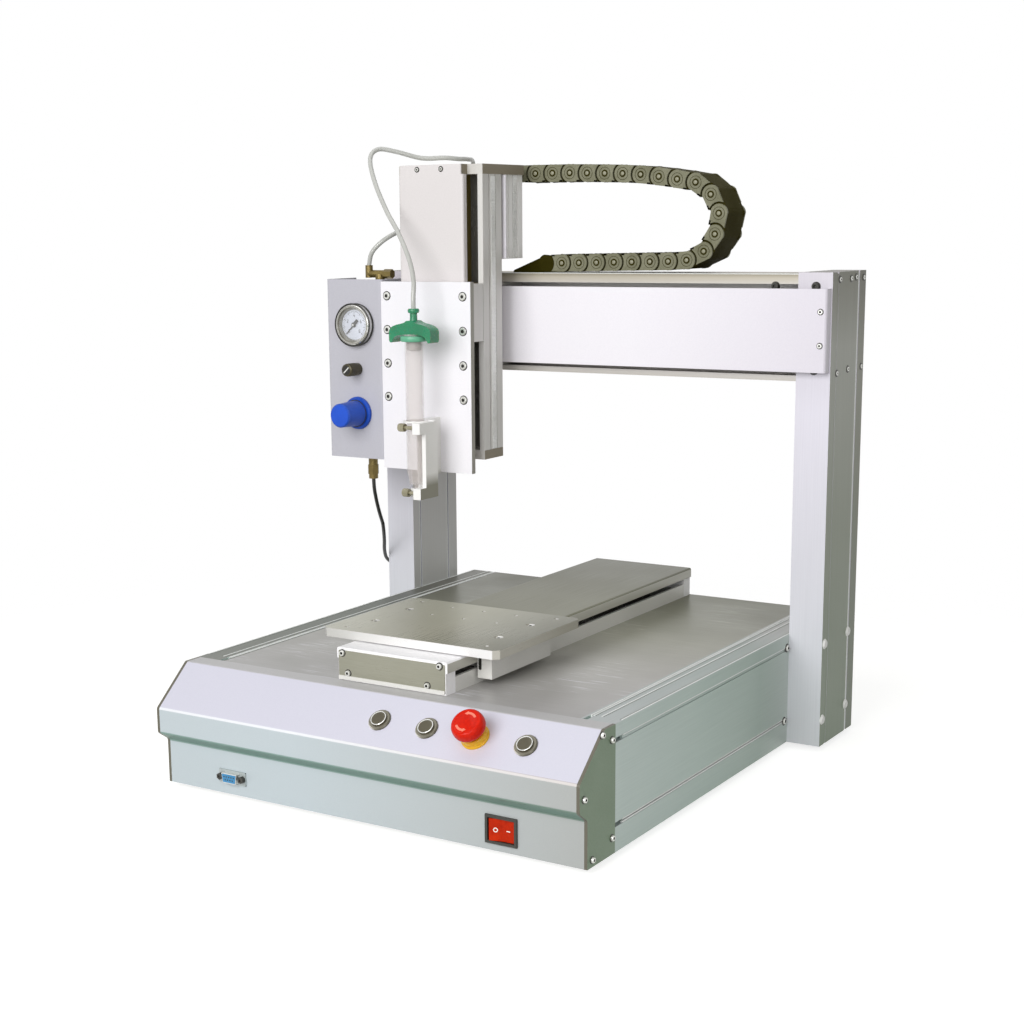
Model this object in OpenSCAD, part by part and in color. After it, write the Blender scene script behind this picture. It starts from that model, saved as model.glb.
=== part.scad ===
// Desktop dispensing robot: a base with a moving work table, a gantry on two columns, and a
// vertical axis that carries a syringe in its holder and a pneumatic control panel beside it.
// X runs to the right, Y to the back and Z up, from the bench under the middle of the base.

/* [Base] */
// Width of the base over its two side profiles
base_w = 450; // [440:2:480]
// Depth of the base from its lower front face to its back
base_d = 540; // [530:2:580]
// Height of the base above its feet
base_h = 111; // [108:1:125]
// Height of the rubber feet
foot_h = 6; // [4:1:12]
// Radius of a rubber foot
foot_r = 14; // [10:1:18]
// How far the middle of a foot stands in from the edges of the base
foot_inset = 60; // [50:5:80]
// Width of a side profile
side_w = 33; // [30:1:38]
// Wall of the side profiles and columns
profile_wall = 2.5; // [2:0.5:3.5]
// Width of a mounting groove in the profiles
groove_w = 4; // [3:0.5:4]
// Depth of a mounting groove
groove_d = 5; // [4:0.5:6]
// Height of the lower side groove above the underside
groove_low = 24; // [18:1:30]
// Depth of the upper side groove below the top
groove_high = 14; // [10:1:18]
// Thickness of the top plate
top_t = 4; // [3:0.5:5]
// Thickness of the folded sheet
sheet_t = 2; // [1.5:0.5:2.5]

/* [Console] */
// Height of the lower front face
front_h = 42; // [40:1:46]
// How far the nose stands out of the lower front face
nose_out = 13; // [10:1:16]
// Height of the underside of the nose
nose_low = 51; // [49:1:56]
// Height of the top of the nose
nose_high = 75; // [72:1:80]
// Depth of the slanted panel
slope_run = 42; // [40:1:48]
// Bend radius of the console sheet
console_bend = 4; // [3:0.5:6]
// Depth of the end plates behind the lower front face
end_plate_d = 47.5; // [46:0.5:56]
// Thickness of the end plates
end_plate_t = 3; // [2:0.5:4]

/* [Controls] */
// Place of the left button from the middle of the base
controls_x = 16; // [10:1:22]
// Pitch of the buttons and the emergency stop
controls_pitch = 49; // [44:1:54]
// Radius of a button ring
ring_r = 10.5; // [9.5:0.5:12]
// Height of a button ring
ring_h = 2; // [1.5:0.5:3]
// Radius of a button
button_r = 7.5; // [6:0.5:8]
// How far a button stands above its ring
button_up = 1.8; // [1.6:0.1:2.5]
// Radius of the threaded barrel behind a button ring
button_barrel_r = 9; // [8.5:0.5:9.5]
// Length of the threaded barrel behind a button ring
button_barrel_l = 22; // [18:1:26]
// Radius of the emergency stop's collar
collar_r = 15; // [14:0.5:17]
// Height of the emergency stop's collar
collar_h = 9; // [7:0.5:11]
// Radius of the emergency stop's mushroom head
head_r = 16.5; // [16:0.5:20]
// Height of the mushroom head
head_h = 15; // [13:0.5:18]
// Gap between the collar and the mushroom head
head_up = 4; // [3.6:0.2:6]
// Radius of the emergency stop's stem
stem_r = 6.5; // [5.5:0.5:8]
// Radius of the pin that the mushroom head turns on
head_pin_r = 4; // [3:0.5:5]
// Width of the power switch frame
switch_w = 31; // [29:1:34]
// Height of the power switch frame
switch_h = 25; // [23:1:27]
// Place of the power switch from the middle of the base
switch_x = 144; // [130:1:160]
// Height of the middle of the power switch above the underside
switch_z = 19; // [18:0.5:21]
// Depth of the power switch behind the panel
switch_d = 22; // [20:1:28]
// Rim of the power switch frame
switch_rim = 2.5; // [2:0.5:3]
// How far the rocker is tipped at rest, in degrees
rocker_tip = 8; // [5:1:9]
// Place of the serial port from the middle of the base
serial_x = -146; // [-160:1:-130]
// Height of the middle of the serial port above the underside
serial_z = 17; // [15:0.5:20]
// Width of the serial port flange
serial_w = 31; // [29:0.5:33]
// Place of the mains inlet from the middle of the base
inlet_x = 120; // [80:5:150]
// Width of the mains inlet flange
inlet_w = 50; // [46:1:54]
// Height of the mains inlet flange
inlet_h = 28; // [26:1:32]
// Height of the middle of the mains inlet above the underside
inlet_z = 50; // [40:1:60]

/* [Gantry] */
// Width of a column
column_w = 34.5; // [32:0.5:40]
// Depth of a column
column_d = 89; // [84:1:96]
// Height of a column above the underside of the base
column_h = 465; // [455:1:480]
// Distance from the back of the base to the back of a column
column_back = 36; // [30:1:42]
// Place of the front column groove behind the column's face
column_groove_a = 14; // [10:1:20]
// Place of the rear column groove behind the column's face
column_groove_b = 70; // [62:1:74]
// How far the top of the beam lies below the top of the columns
beam_drop = 2; // [1:0.5:4]
// Height of the beam
beam_h = 101.5; // [101:0.5:110]
// Depth of the beam
beam_d = 80; // [74:1:84]
// Wall of the beam
beam_wall = 3; // [2.5:0.5:3]
// Depth of the channel in the front of the beam
beam_channel = 40; // [39:0.5:44]
// Height of the beam cover
cover_h = 79; // [70:1:79]
// Thickness of the axis covers
cover_t = 1.5; // [1:0.25:2]
// Distance from the columns to the front of the beam cover
cover_gap = 11; // [9:0.5:13]
// How far the beam cover's top lies below the top of the beam
cover_drop = 13; // [13:0.5:16]

/* [Linear guides] */
// Width of a guide rail
rail_w = 9; // [7:0.5:10]
// Height of a guide rail
rail_h = 6; // [5:0.5:7]
// Radius of a drive screw
screw_r = 5; // [4:0.5:5.5]
// Running clearance of a screw in its nut and of a stem in its bore
fit_gap = 0.08; // [0.04:0.01:0.1]
// Clearance between a slide and its rail
slide_gap = 0.4; // [0.3:0.1:0.6]
// Side of a drive motor on the beam
motor_w = 42; // [38:1:44]
// Length of a drive motor
motor_l = 34; // [30:1:38]
// How far a screw end reaches into its motor or end bearing
screw_seat = 6; // [4:1:8]
// Distance between the middles of the beam rails
x_rail_pitch = 60; // [56:1:64]
// Length of the slide on the beam rails
x_slide_l = 60; // [50:1:64]

/* [Table axis] */
// Width of the table module
y_w = 116; // [112:1:124]
// Height of the table module to the top of its cover
y_h = 30; // [30:0.5:34]
// Front of the table module from the front of the base
y_front = 49; // [48:1:54]
// Distance from the back of the table module to the back of the base
y_rear = 2; // [1:0.5:6]
// Depth of an end block of the table module
y_block_d = 15; // [13:0.5:18]
// Height of the side walls of the table module
y_wall_h = 14; // [13:0.5:14]
// Depth of the folded lip of the table module's cover
y_lip = 10; // [8:0.5:10]
// Distance between the middles of the table rails
y_rail_pitch = 76; // [70:1:80]
// Height of the table screw above the base
y_screw_up = 9; // [8.5:0.5:9.5]
// Side of the table motor
y_motor_w = 35; // [33:0.5:36]
// Width of the work table
table_w = 190; // [180:2:210]
// Depth of the work table
table_d = 150; // [140:2:160]
// Thickness of the work table
table_t = 8; // [6:0.5:10]
// Gap between the table module's cover and the work table
table_gap = 1; // [0.8:0.1:2]
// Front of the work table behind the front of the base
table_front = 74; // [72:1:80]
// Cut at the corners of the work table
table_cut = 5; // [3:0.5:8]
// Length of the table's carrier arms
y_arm_l = 104; // [90:2:110]
// Width of a carrier arm beside the module
y_arm_w = 15; // [12:0.5:18]
// How far a carrier arm hangs below the table
y_arm_h = 25; // [22:0.5:26]
// Spacing of the fixture holes across the table
hole_x = 152; // [140:2:160]
// Spacing of the fixture holes along the table
hole_y = 124; // [110:2:130]
// Distance between the small tapped holes in the table
tap_pitch = 36; // [34:1:40]
// Place of the first row of tapped holes from the table's middle
tap_first = 19; // [15:1:22]
// Radius of a small tapped hole
tap_r = 1.6; // [1.2:0.1:2]
// Radius of a fixture hole in the table
hole_r = 2.1; // [1.6:0.1:2.6]

/* [Head] */
// Place of the vertical axis from the middle of the base
head_x = -135; // [-140:1:-120]
// Width of the vertical module and the tool plate
head_w = 104; // [100:1:110]
// Depth of the vertical module
head_d = 36; // [34:0.5:40]
// Distance from the columns to the front of the vertical module
head_out = 74; // [72:0.5:78]
// Height of the top of the head above the underside of the base
head_top = 573.5; // [560:0.5:585]
// Length of the vertical profile
head_l = 279; // [270:1:290]
// Thickness of the top housing
head_cap = 10; // [10:0.5:13]
// Thickness of the bottom plate of the vertical module
head_foot = 9.5; // [8:0.5:12]
// Side walls of the vertical module
head_wall = 6; // [5:0.5:6]
// Back wall of the vertical module
head_back = 6; // [5:0.5:8]
// How much less wide the vertical module is on the panel side
head_trim = 2.5; // [0:0.5:3]
// How far the front cover is set towards the panel
front_cover_off = 2; // [0:0.5:2.5]
// Width of the vertical module's front cover
front_cover_w = 78; // [74:1:80]
// Distance from the vertical module to the front of its cover
front_cover_out = 13.5; // [12:0.5:14]
// Folded edge of the front cover
front_cover_lip = 7; // [5:0.5:8]
// Width of the cross slide's front plate
x_plate_w = 72; // [66:1:76]
// Distance between the middles of the vertical rails
z_rail_pitch = 54; // [48:1:58]
// Distance from the vertical module's face back to the drive screw
z_screw_in = 5; // [4:0.5:6]
// Radius of the belt pulleys
pulley_r = 10; // [8:0.5:11]
// Thickness of the belt
belt_t = 1.4; // [1:0.1:1.8]
// Width of the belt
belt_w = 6; // [5:0.5:6]
// Gap between the vertical module and the motor case
motor_gap = 7; // [5:0.5:9]
// Depth of the motor case
case_d = 38; // [36:0.5:42]
// Width of the motor case
case_w = 100; // [90:1:104]
// Height of the motor case
case_h = 85; // [70:1:90]

/* [Tool] */
// Thickness of the tool plate
plate_t = 6.5; // [5:0.5:8]
// Height of the tool plate
plate_h = 194; // [180:1:200]
// Distance from the vertical module to the front of the tool plate
plate_out = 25; // [24.5:0.5:28]
// Height of the tool plate's top above the underside of the base
plate_top = 457; // [450:1:465]
// Length of the slide arms behind the tool plate
z_arm_l = 58; // [50:1:64]
// How far the tool plate reaches past the vertical module on the panel side
plate_left = 6; // [4:0.5:8]
// Distance between the tool plate's screws
plate_screw_pitch = 34.7; // [32:0.1:36]
// Radius of the sunk holes for the tool plate's screws
plate_screw_r = 4.2; // [3.8:0.1:4.6]
// Radius of the syringe barrel
barrel_r = 9.4; // [9:0.1:10]
// Wall of the syringe barrel
barrel_wall = 1.1; // [1:0.1:1.4]
// Length of the straight part of the syringe barrel
barrel_l = 141; // [136:1:144]
// Length of the syringe's tapered end and tip
tip_l = 26; // [24:1:30]
// Radius of the syringe tip
tip_r = 2.6; // [2:0.1:3.2]
// Place of the syringe from the middle of the head
syringe_x = 10; // [6:1:12]
// Distance from the tool plate to the middle of the syringe
syringe_out = 40; // [36:1:44]
// How far the top of the barrel lies below the top of the tool plate
syringe_drop = 50; // [45:1:55]
// Width of the adapter's wings
wing_w = 50; // [48:1:54]
// Depth of the adapter's wings
wing_d = 11; // [10:0.5:14]
// Height of the adapter's stem above its wings
adapter_stem = 13; // [10:0.5:16]
// Height of a clamp
clamp_h = 12; // [10:0.5:14]
// Wall of a clamp ring
clamp_wall = 3; // [2.5:0.5:4]
// How far the middle of the upper clamp lies below the top of the tool plate
clamp_a = 143; // [130:1:146]
// How far the middle of the lower clamp lies below the top of the tool plate
clamp_b = 209; // [208:0.5:212]
// Width of the web between the clamps and the tool plate
web_w = 8; // [7:0.5:10]
// Radius of a thumb screw's head
thumb_r = 4; // [3.6:0.2:4.4]
// Bare length of the upper thumb screw
thumb_neck_a = 11; // [8:0.5:12]
// Bare length of the lower thumb screw
thumb_neck_b = 7; // [5:0.5:9]
// Radius of a thumb screw's shank
thumb_shank_r = 2; // [1.5:0.1:2.4]

/* [Control panel] */
// Width of the control panel box
box_w = 71; // [70:1:76]
// Height of the control panel box
box_h = 188; // [180:1:196]
// Depth of the control panel box
box_d = 52; // [50:1:60]
// How far the box front lies behind the front of the tool plate
box_set = 2; // [1:0.5:4]
// How far the box top stands above the tool plate
box_up = 2; // [0:0.5:6]
// Gap between the box and the tool plate's edge
box_gap = 1; // [0.5:0.5:2]
// How far the panel's controls lie from its middle, towards the tool plate
panel_off = 3; // [0:0.5:4]
// Sheet of the control panel box
box_t = 1.5; // [1:0.25:2]
// Radius of the pressure gauge
gauge_r = 21.7; // [20:0.1:22.5]
// How far the gauge stands out of the panel
gauge_out = 9; // [8:0.5:12]
// How far the gauge's middle lies below the top of the tool plate
gauge_drop = 45; // [42:1:50]
// How far the metering knob's middle lies below the top of the tool plate
meter_drop = 91.5; // [88:0.5:95]
// Radius of the metering knob
meter_r = 6.5; // [5.5:0.5:8]
// How far the metering knob stands out of the panel
meter_out = 20; // [16:0.5:24]
// How far the regulator knob's middle lies below the top of the tool plate
reg_drop = 138; // [134:1:142]
// Radius of the regulator knob's flange
reg_flange_r = 17; // [15:0.5:18.5]
// Radius of the regulator knob
reg_r = 12.5; // [10:0.5:14]
// How far the regulator knob stands out of the panel
reg_out = 34; // [28:0.5:38]
// Radius of a knob's stem
knob_stem_r = 3; // [2.5:0.5:4]
// Depth of the valve body behind the panel
valve_d = 30; // [26:1:34]
// Width of the valve body behind the panel
valve_w = 38; // [34:1:42]

/* [Cable chain] */
// Distance between the pins of the chain
chain_pitch = 20.5; // [20:0.5:22]
// Height of a chain link
link_h = 18.6; // [18:0.2:20]
// Width of the chain
link_w = 45; // [40:1:48]
// Thickness of one side plate of a link
link_side = 2.4; // [2:0.1:2.8]
// Gap between the beam and the lower run of the chain
chain_lift = 0.4; // [0.3:0.1:1]
// Links in the straight lower run
links_low = 6; // [5:1:7]
// Distance from the columns' face back to the near side of the chain
chain_in = 23; // [21:0.5:30]

/* [Air lines] */
// Radius of the clear air tube
tube_r = 2.4; // [2:0.1:2.6]
// Radius of the black supply hose
hose_r = 2; // [1.6:0.1:2.2]

/* [Hidden] */
$fn = 48;
cut = 1;
base_z = foot_h;
base_top = base_z + base_h;
front_y = -base_d / 2;
back_y = base_d / 2;
side_in = base_w / 2 - side_w;
nose_y = front_y - nose_out;
slope_y = nose_y + slope_run;
end_back_y = front_y + end_plate_d;
slope_a = atan2(base_h - nose_high, slope_run);
slope_mid = [0, (nose_y + slope_y) / 2, base_z + (nose_high + base_h) / 2];
column_y1 = back_y - column_back;
column_y0 = column_y1 - column_d;
column_top = base_z + column_h;
cap_t = 2;
console_in = base_w / 2 - end_plate_t;
collar_barrel_r = stem_r + 2;
collar_barrel_l = 26;
head_skirt = 2;
rocker_pivot = 4;
rocker_pin_r = 1.5;
switch_hole = [switch_w, switch_h] / 2 - [1.5, 1.5];
inlet_hole = [inlet_w / 2 - 8, inlet_h / 2 - 3];

// Outline of the console from the underside up to the top plate, as [y, z]
console_line = [[front_y, base_z], [front_y, base_z + front_h], [nose_y, base_z + nose_low],
                [nose_y, base_z + nose_high], [slope_y, base_top], [end_back_y, base_top]];

beam_top = column_top - beam_drop;
beam_bot = beam_top - beam_h;
beam_mid = (beam_top + beam_bot) / 2;
channel_y = column_y0 + beam_channel;
cover_z1 = beam_top - cover_drop;
cover_z0 = cover_z1 - cover_h;
cover_y = column_y0 - cover_gap;
nut_wall = 3;
beam_lip_high = 9;
beam_lip_low = 5.5;
x_screw_y = channel_y - rail_h - slide_gap - screw_r - nut_wall;
x_motor_x = base_w / 2 - motor_l;
x_arm_gap = 0.7;
x_arm_t = cover_drop - beam_lip_high - 2 * x_arm_gap;
x_arm_low = cover_z0 - x_arm_gap - x_arm_t;
x_arm_high = cover_z1 + x_arm_gap;
x_plate_t = 10;
x_plate_gap = 1.7;

y_top = base_top + y_h;
y_y0 = front_y + y_front;
y_y1 = back_y - y_rear;
y_floor = 3;
y_wall = 3;
y_screw_z = base_top + y_screw_up;
y_motor_y = y_y1 - y_block_d - motor_l;
y_slide_l = 60;
y_screw_r = screw_r - 1;
table_z = y_top + table_gap;
table_y = front_y + table_front + table_d / 2;
y_lip_gap = 0.8;
y_web_t = y_h - y_lip - y_wall_h - 2 * y_lip_gap;
y_web_z = base_top + y_wall_h + y_lip_gap;
y_out = y_w / 2 + cover_t + y_lip_gap;
table_screw_x = y_out + y_arm_w / 2;
table_screw_pitch = 56;
table_screw_r = 4.2;

head_y = column_y0 - head_out;
head_cap_z = base_z + head_top - head_cap;
head_foot_z = head_cap_z - head_l;
head_y1 = head_y + head_d;
front_cover_y = head_y - front_cover_out;
z_screw_y = head_y + z_screw_in;
case_y = head_y1 + motor_gap;
motor_y = case_y + case_d / 2;
z_slot_gap = 1;
z_wall_gap = 0.8;
front_cover_x = head_x - front_cover_off;
head_inner = head_w / 2 - head_wall;
head_left = head_w / 2 - head_trim;
z_slot_left = front_cover_x - front_cover_w / 2 - z_slot_gap - head_x;
z_slot_right = front_cover_x + front_cover_w / 2 + z_slot_gap - head_x;
z_arm_out = head_inner - z_wall_gap;
z_block_y = z_screw_y + screw_r + nut_wall;
rib_d = 1.6;
shaft_r = screw_r - 1;
belt_gap = 0.6;
seat_gap = 0.5;

plate_y = head_y - plate_out;
plate_z1 = base_z + plate_top;
plate_z0 = plate_z1 - plate_h;
z_arm_z1 = plate_z1 - 2;
tool_x = head_x + syringe_x;
tool_y = plate_y - syringe_out;
barrel_top = plate_z1 - syringe_drop;
barrel_low = barrel_top - barrel_l;
clamp_gap = 0.1;
seat_r = barrel_r + clamp_gap;
clamp_r = seat_r + clamp_wall;
lug_x0 = tool_x + 8;
lug_x1 = lug_x0 + 9;
lug_y0 = tool_y - seat_r - 2 * thumb_r;
lug_y1 = tool_y + seat_r + 3;
thumb_y = tool_y - seat_r - thumb_r - seat_gap;
thumb_l = 7;
thumb_in = 6;
flange_t = 2.5;
flange_r = barrel_r + 1;

box_y = plate_y + box_set;
box_x1 = head_x - head_w / 2 - plate_left - box_gap;
box_x0 = box_x1 - box_w;
box_x = (box_x0 + box_x1) / 2 + panel_off;
box_z1 = plate_z1 + box_up;
box_z0 = box_z1 - box_h;
gauge_z = plate_z1 - gauge_drop;
meter_z = plate_z1 - meter_drop;
reg_z = plate_z1 - reg_drop;
valve_y = box_y + box_t;
port_r = 5;
knob_stem_l = 12;
gauge_lip = 2;
gauge_dial = 4;
needle_pin_r = 1.2;

chain_y0 = column_y0 + chain_in;
chain_mid_y = chain_y0 + link_w / 2;
chain_low_z = beam_top + chain_lift + link_h / 2;
chain_set = 36;
chain_end_x = head_x + chain_set;
// Turn of each link from the last, in degrees, down the drooping upper run and round the bend
link_turns = [0, 0.5, 0, 1.5, 0, 0.5, 1.5, 3, 1.5, 1.5, 26, 28, 37, 24, 30, 21.5, 2.7];
link_count = len(link_turns) + links_low;
link_gap = 0.3;
link_trim = 0.5;
link_inside = link_w / 2 - 2 * link_side - link_gap;
chain_wing_w = 30;

// Point that the air lines are laid from: the middle of the head, at the columns' face and the beam's top
lines_at = [head_x, column_y0, beam_top];
// Clear air tube from the syringe adapter over the head and round its back to the panel's elbow
tube_route = [for (p = [[10, -139, -31], [10, -139, -19], [8, -135, -4], [-1, -129, 17],
    [-19, -121, 43], [-38, -114, 65], [-59, -104, 94], [-73, -92, 118], [-71, -81, 128],
    [-58, -69, 126], [-37, -51, 119], [-17, -37, 119], [-9, -23, 118], [-8, -7, 118], [-12, 9, 116],
    [-18, 19, 100], [-27, 23, 84], [-39, 21, 70], [-52, 12, 60], [-61, -3, 53], [-65, -23, 49],
    [-65, -43, 46], [-68, -59, 42], [-77, -69, 34], [-87, -73, 23], [-91, -73, 10]]) lines_at + p];
// Black supply hose from the fitting under the panel down to the middle of its drop
hose_upper_route = [for (p = [[-91, -73, -217], [-91, -72, -229], [-92, -67, -243], [-95, -58, -257],
    [-99, -47, -270]]) lines_at + p];
// Black supply hose from there, past the left column, to the air inlet on the base
hose_lower_route = [for (p = [[-99, -46.5, -271], [-104, -38, -282], [-112, -26, -295],
    [-122, -12, -309], [-130, 4, -322], [-133, 26, -333], [-132, 50, -341], [-130, 75, -348],
    [-127, 93, -357], [-119, 105, -369], [-112, 108, -381], [-111, 108, -391]]) lines_at + p];
air_inlet_down = 16;

// Colours of the finishes
white_paint = [0.86, 0.86, 0.90];
clear_anodised = [0.66, 0.66, 0.64];
green_paint = [0.44, 0.50, 0.41];
dark_grey = [0.35, 0.35, 0.35];
steel = [0.75, 0.75, 0.74];
black_plastic = [0.12, 0.12, 0.10];
brass = [0.70, 0.58, 0.30];

// Point where the path turns from a to c about b, as an arc of radius r in n steps
function corner_arc(a, b, c, r, n) =
    let(u = (a - b) / norm(a - b), v = (c - b) / norm(c - b), half = acos(u * v) / 2)
    let(m = b + (u + v) / norm(u + v) * r / sin(half), p = b + u * r / tan(half), q = b + v * r / tan(half))
    [for (k = [0:n]) let(e = (p - m) * (1 - k / n) + (q - m) * k / n) m + r * e / norm(e)];
function round_path(p, r, n = 5) =
    [p[0], for (i = [1:len(p) - 2]) each corner_arc(p[i - 1], p[i], p[i + 1], r, n), p[len(p) - 1]];
function right_of(a, b) = let(d = (b - a) / norm(b - a)) [d[1], -d[0]];
// The path moved to its right by t, with mitred corners
function inset_path(p, t) =
    [for (i = [0:len(p) - 1])
        let(last = len(p) - 1, a = right_of(p[max(i - 1, 0)], p[max(i, 1)]))
        let(b = right_of(p[min(i, last - 1)], p[min(i + 1, last)]))
        p[i] + t * (a + b) / (1 + a * b)];
function reversed(p) = [for (i = [len(p) - 1:-1:0]) p[i]];
module sheet_profile(p, t) polygon(concat(p, reversed(inset_path(p, t))));

// Extrude a [y, z] outline along X from x0 by l
module along_x(x0, l) translate([x0, 0, 0]) rotate([90, 0, 90]) linear_extrude(l) children();
// Extrude an [x, z] outline along Y from y0 by l
module along_y(y0, l) translate([0, y0 + l, 0]) rotate([90, 0, 0]) linear_extrude(l) children();
// A box from its low corner to its high corner
module block(a, b) translate(a) cube(b - a);
// A round bar from a along one axis, turned to X, Y or Z
module bar_x(p, r, l) translate(p) rotate([0, 90, 0]) cylinder(r = r, h = l);
module bar_y(p, r, l) translate(p) rotate([-90, 0, 0]) cylinder(r = r, h = l);
// Place children on the slanted panel, with Z standing out of it
module on_slope(x) translate(slope_mid + [x, 0, 0]) rotate([slope_a, 0, 0]) children();
// Place children on the control panel, with Z standing out of it
module on_box(z) translate([box_x, box_y, z]) rotate([90, 0, 0]) children();

// Base

module side_profile() {
    difference() {
        translate([side_in, base_z]) square([side_w, base_h]);
        translate([side_in + profile_wall, base_z + profile_wall])
            square([side_w - groove_d - 2 * profile_wall, base_h - groove_d - 2 * profile_wall]);
        for (z = [base_z + groove_low, base_top - groove_high])
            translate([base_w / 2 - groove_d, z - groove_w / 2]) square([groove_d + cut, groove_w]);
        translate([side_in + profile_wall, base_top - groove_d]) square([groove_w, groove_d + cut]);
    }
}
module base_side_right() {
    color(clear_anodised) {
        along_y(end_back_y, back_y - end_back_y) side_profile();
        block([side_in + profile_wall / 2, back_y - cap_t, base_z + profile_wall / 2],
              [base_w / 2 - groove_d - profile_wall / 2, back_y, base_top - groove_d - profile_wall / 2]);
    }
}
module base_side_left() {
    mirror([1, 0, 0]) base_side_right();
}
module motor_window(z0, z1) {
    room = y_motor_w / 2 + 1;
    block([-room, y_motor_y - 1, z0], [room, y_motor_y + motor_l + 1, z1]);
}
module base_top_plate() {
    color(clear_anodised) difference() {
        block([-side_in, end_back_y, base_top - top_t], [side_in, back_y, base_top]);
        motor_window(base_top - top_t - cut, base_top + cut);
    }
}
module base_pan() {
    color(clear_anodised) difference() {
        union() {
            block([-side_in, front_y + sheet_t, base_z], [side_in, back_y, base_z + sheet_t]);
            block([-console_in, front_y + sheet_t, base_z], [console_in, end_back_y, base_z + sheet_t]);
            block([-side_in, back_y - sheet_t, base_z], [side_in, back_y, base_top - top_t]);
        }
        translate([inlet_x, back_y - sheet_t, base_z + inlet_z])
            block([-inlet_hole[0], -cut, -inlet_hole[1]], [inlet_hole[0], sheet_t + cut, inlet_hole[1]]);
    }
}
module front_panel() {
    color(white_paint) difference() {
        along_x(-console_in, 2 * console_in) sheet_profile(round_path(console_line, console_bend), sheet_t);
        for (i = [0:3])
            on_slope(controls_x + i * controls_pitch) translate([0, 0, -3 * sheet_t])
                cylinder(r = (i == 2 ? collar_barrel_r : button_barrel_r) + slide_gap, h = 4 * sheet_t);
        translate([switch_x, front_y, base_z + switch_z])
            block([-switch_hole[0], -cut, -switch_hole[1]],
                  [switch_hole[0], sheet_t + cut, switch_hole[1]]);
    }
}
module end_plate_right() {
    color(green_paint) along_x(base_w / 2 - end_plate_t, end_plate_t)
        polygon(concat(round_path(console_line, console_bend), [[end_back_y, base_z]]));
}
module end_plate_left() {
    mirror([1, 0, 0]) end_plate_right();
}
module rubber_feet() {
    edge = 1.5;
    corner = [base_w / 2 - foot_inset, base_d / 2 - foot_inset];
    spots = concat([for (x = [-1, 1], y = [-1, 1]) [x * corner[0], y * corner[1]]], [[0, 0]]);
    color(black_plastic) for (spot = spots)
        translate([spot[0], spot[1], 0]) rotate_extrude()
            polygon([[0, 0], [foot_r - edge, 0], [foot_r, edge], [foot_r - edge, foot_h], [0, foot_h]]);
}
module electronics() {
    supply = [150, 100, 42];
    board = [150, 120, 1.6];
    apart = 15;
    post = [3, 8];
    edge = 8;
    floor_z = base_z + sheet_t;
    color(steel) translate([-supply[0] - apart, 0, floor_z]) cube(supply);
    color("darkgreen") translate([apart, 0, floor_z]) {
        translate([0, 0, post[1]]) cube(board);
        for (x = [edge, board[0] - edge], y = [edge, board[1] - edge])
            translate([x, y, 0]) cylinder(r = post[0], h = post[1] + board[2] / 2);
    }
}

// Panel controls

module button_ring() {
    edge = 0.8;
    closed = 3;
    difference() {
        union() {
            rotate_extrude()
                polygon([[0, 0], [ring_r, 0], [ring_r, ring_h - edge], [ring_r - edge, ring_h],
                         [0, ring_h]]);
            translate([0, 0, -button_barrel_l]) cylinder(r = button_barrel_r, h = button_barrel_l);
        }
        translate([0, 0, -button_barrel_l + closed])
            cylinder(r = button_r + fit_gap, h = button_barrel_l + ring_h);
    }
}
module button_rings() {
    color(steel) for (i = [0, 1, 3]) on_slope(controls_x + i * controls_pitch) button_ring();
}
module push_button(i) {
    color([0.45, 0.44, 0.38]) on_slope(controls_x + i * controls_pitch)
        translate([0, 0, -button_barrel_l / 2])
            cylinder(r = button_r, h = button_barrel_l / 2 + ring_h + button_up);
}
module button_left() push_button(0);
module button_middle() push_button(1);
module button_right() push_button(3);
module estop_collar() {
    bore = stem_r + fit_gap;
    edge = 2;
    color("gold") on_slope(controls_x + 2 * controls_pitch) rotate_extrude()
        polygon([[bore, -collar_barrel_l], [collar_barrel_r, -collar_barrel_l], [collar_barrel_r, 0],
                 [collar_r, 0],
                 [collar_r, collar_h - edge], [collar_r - edge, collar_h], [bore, collar_h]]);
}
module estop_stem() {
    shoulder = collar_h + head_up + head_skirt;
    deep = collar_barrel_l - 4;
    color(dark_grey) on_slope(controls_x + 2 * controls_pitch) {
        translate([0, 0, -deep]) cylinder(r = stem_r, h = shoulder + deep);
        translate([0, 0, shoulder]) cylinder(r = head_pin_r, h = head_h / 2);
    }
}
module estop_head() {
    low = collar_h + head_up;
    seat = head_skirt + fit_gap;
    bore = stem_r + fit_gap;
    pin_bore = head_pin_r + fit_gap;
    dome = 4;
    color("red") on_slope(controls_x + 2 * controls_pitch) translate([0, 0, low]) rotate_extrude()
        polygon([[bore, 0], [head_r - dome, 0], [head_r, dome], [head_r, head_h - dome],
                 [head_r - dome / 3, head_h - dome / 3], [head_r - dome, head_h], [0, head_h],
                 [0, seat + head_h / 2],
                 [pin_bore, seat + head_h / 2], [pin_bore, seat], [bore, seat]]);
}
module rocker_frame() {
    half = [switch_w / 2, switch_h / 2];
    open = half - [switch_rim, switch_rim];
    body = switch_hole - [slide_gap, slide_gap];
    rim_t = 2;
    color(black_plastic) translate([switch_x, front_y, base_z + switch_z]) difference() {
        union() {
            block([-half[0], -rim_t, -half[1]], [half[0], 0, half[1]]);
            block([-body[0], -cut, -body[1]], [body[0], switch_d, body[1]]);
        }
        block([-open[0], -rim_t - cut, -open[1]], [open[0], switch_d - rim_t, open[1]]);
        translate([0, rocker_pivot, -half[1]]) cylinder(r = rocker_pin_r + fit_gap, h = switch_h);
    }
}
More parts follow.
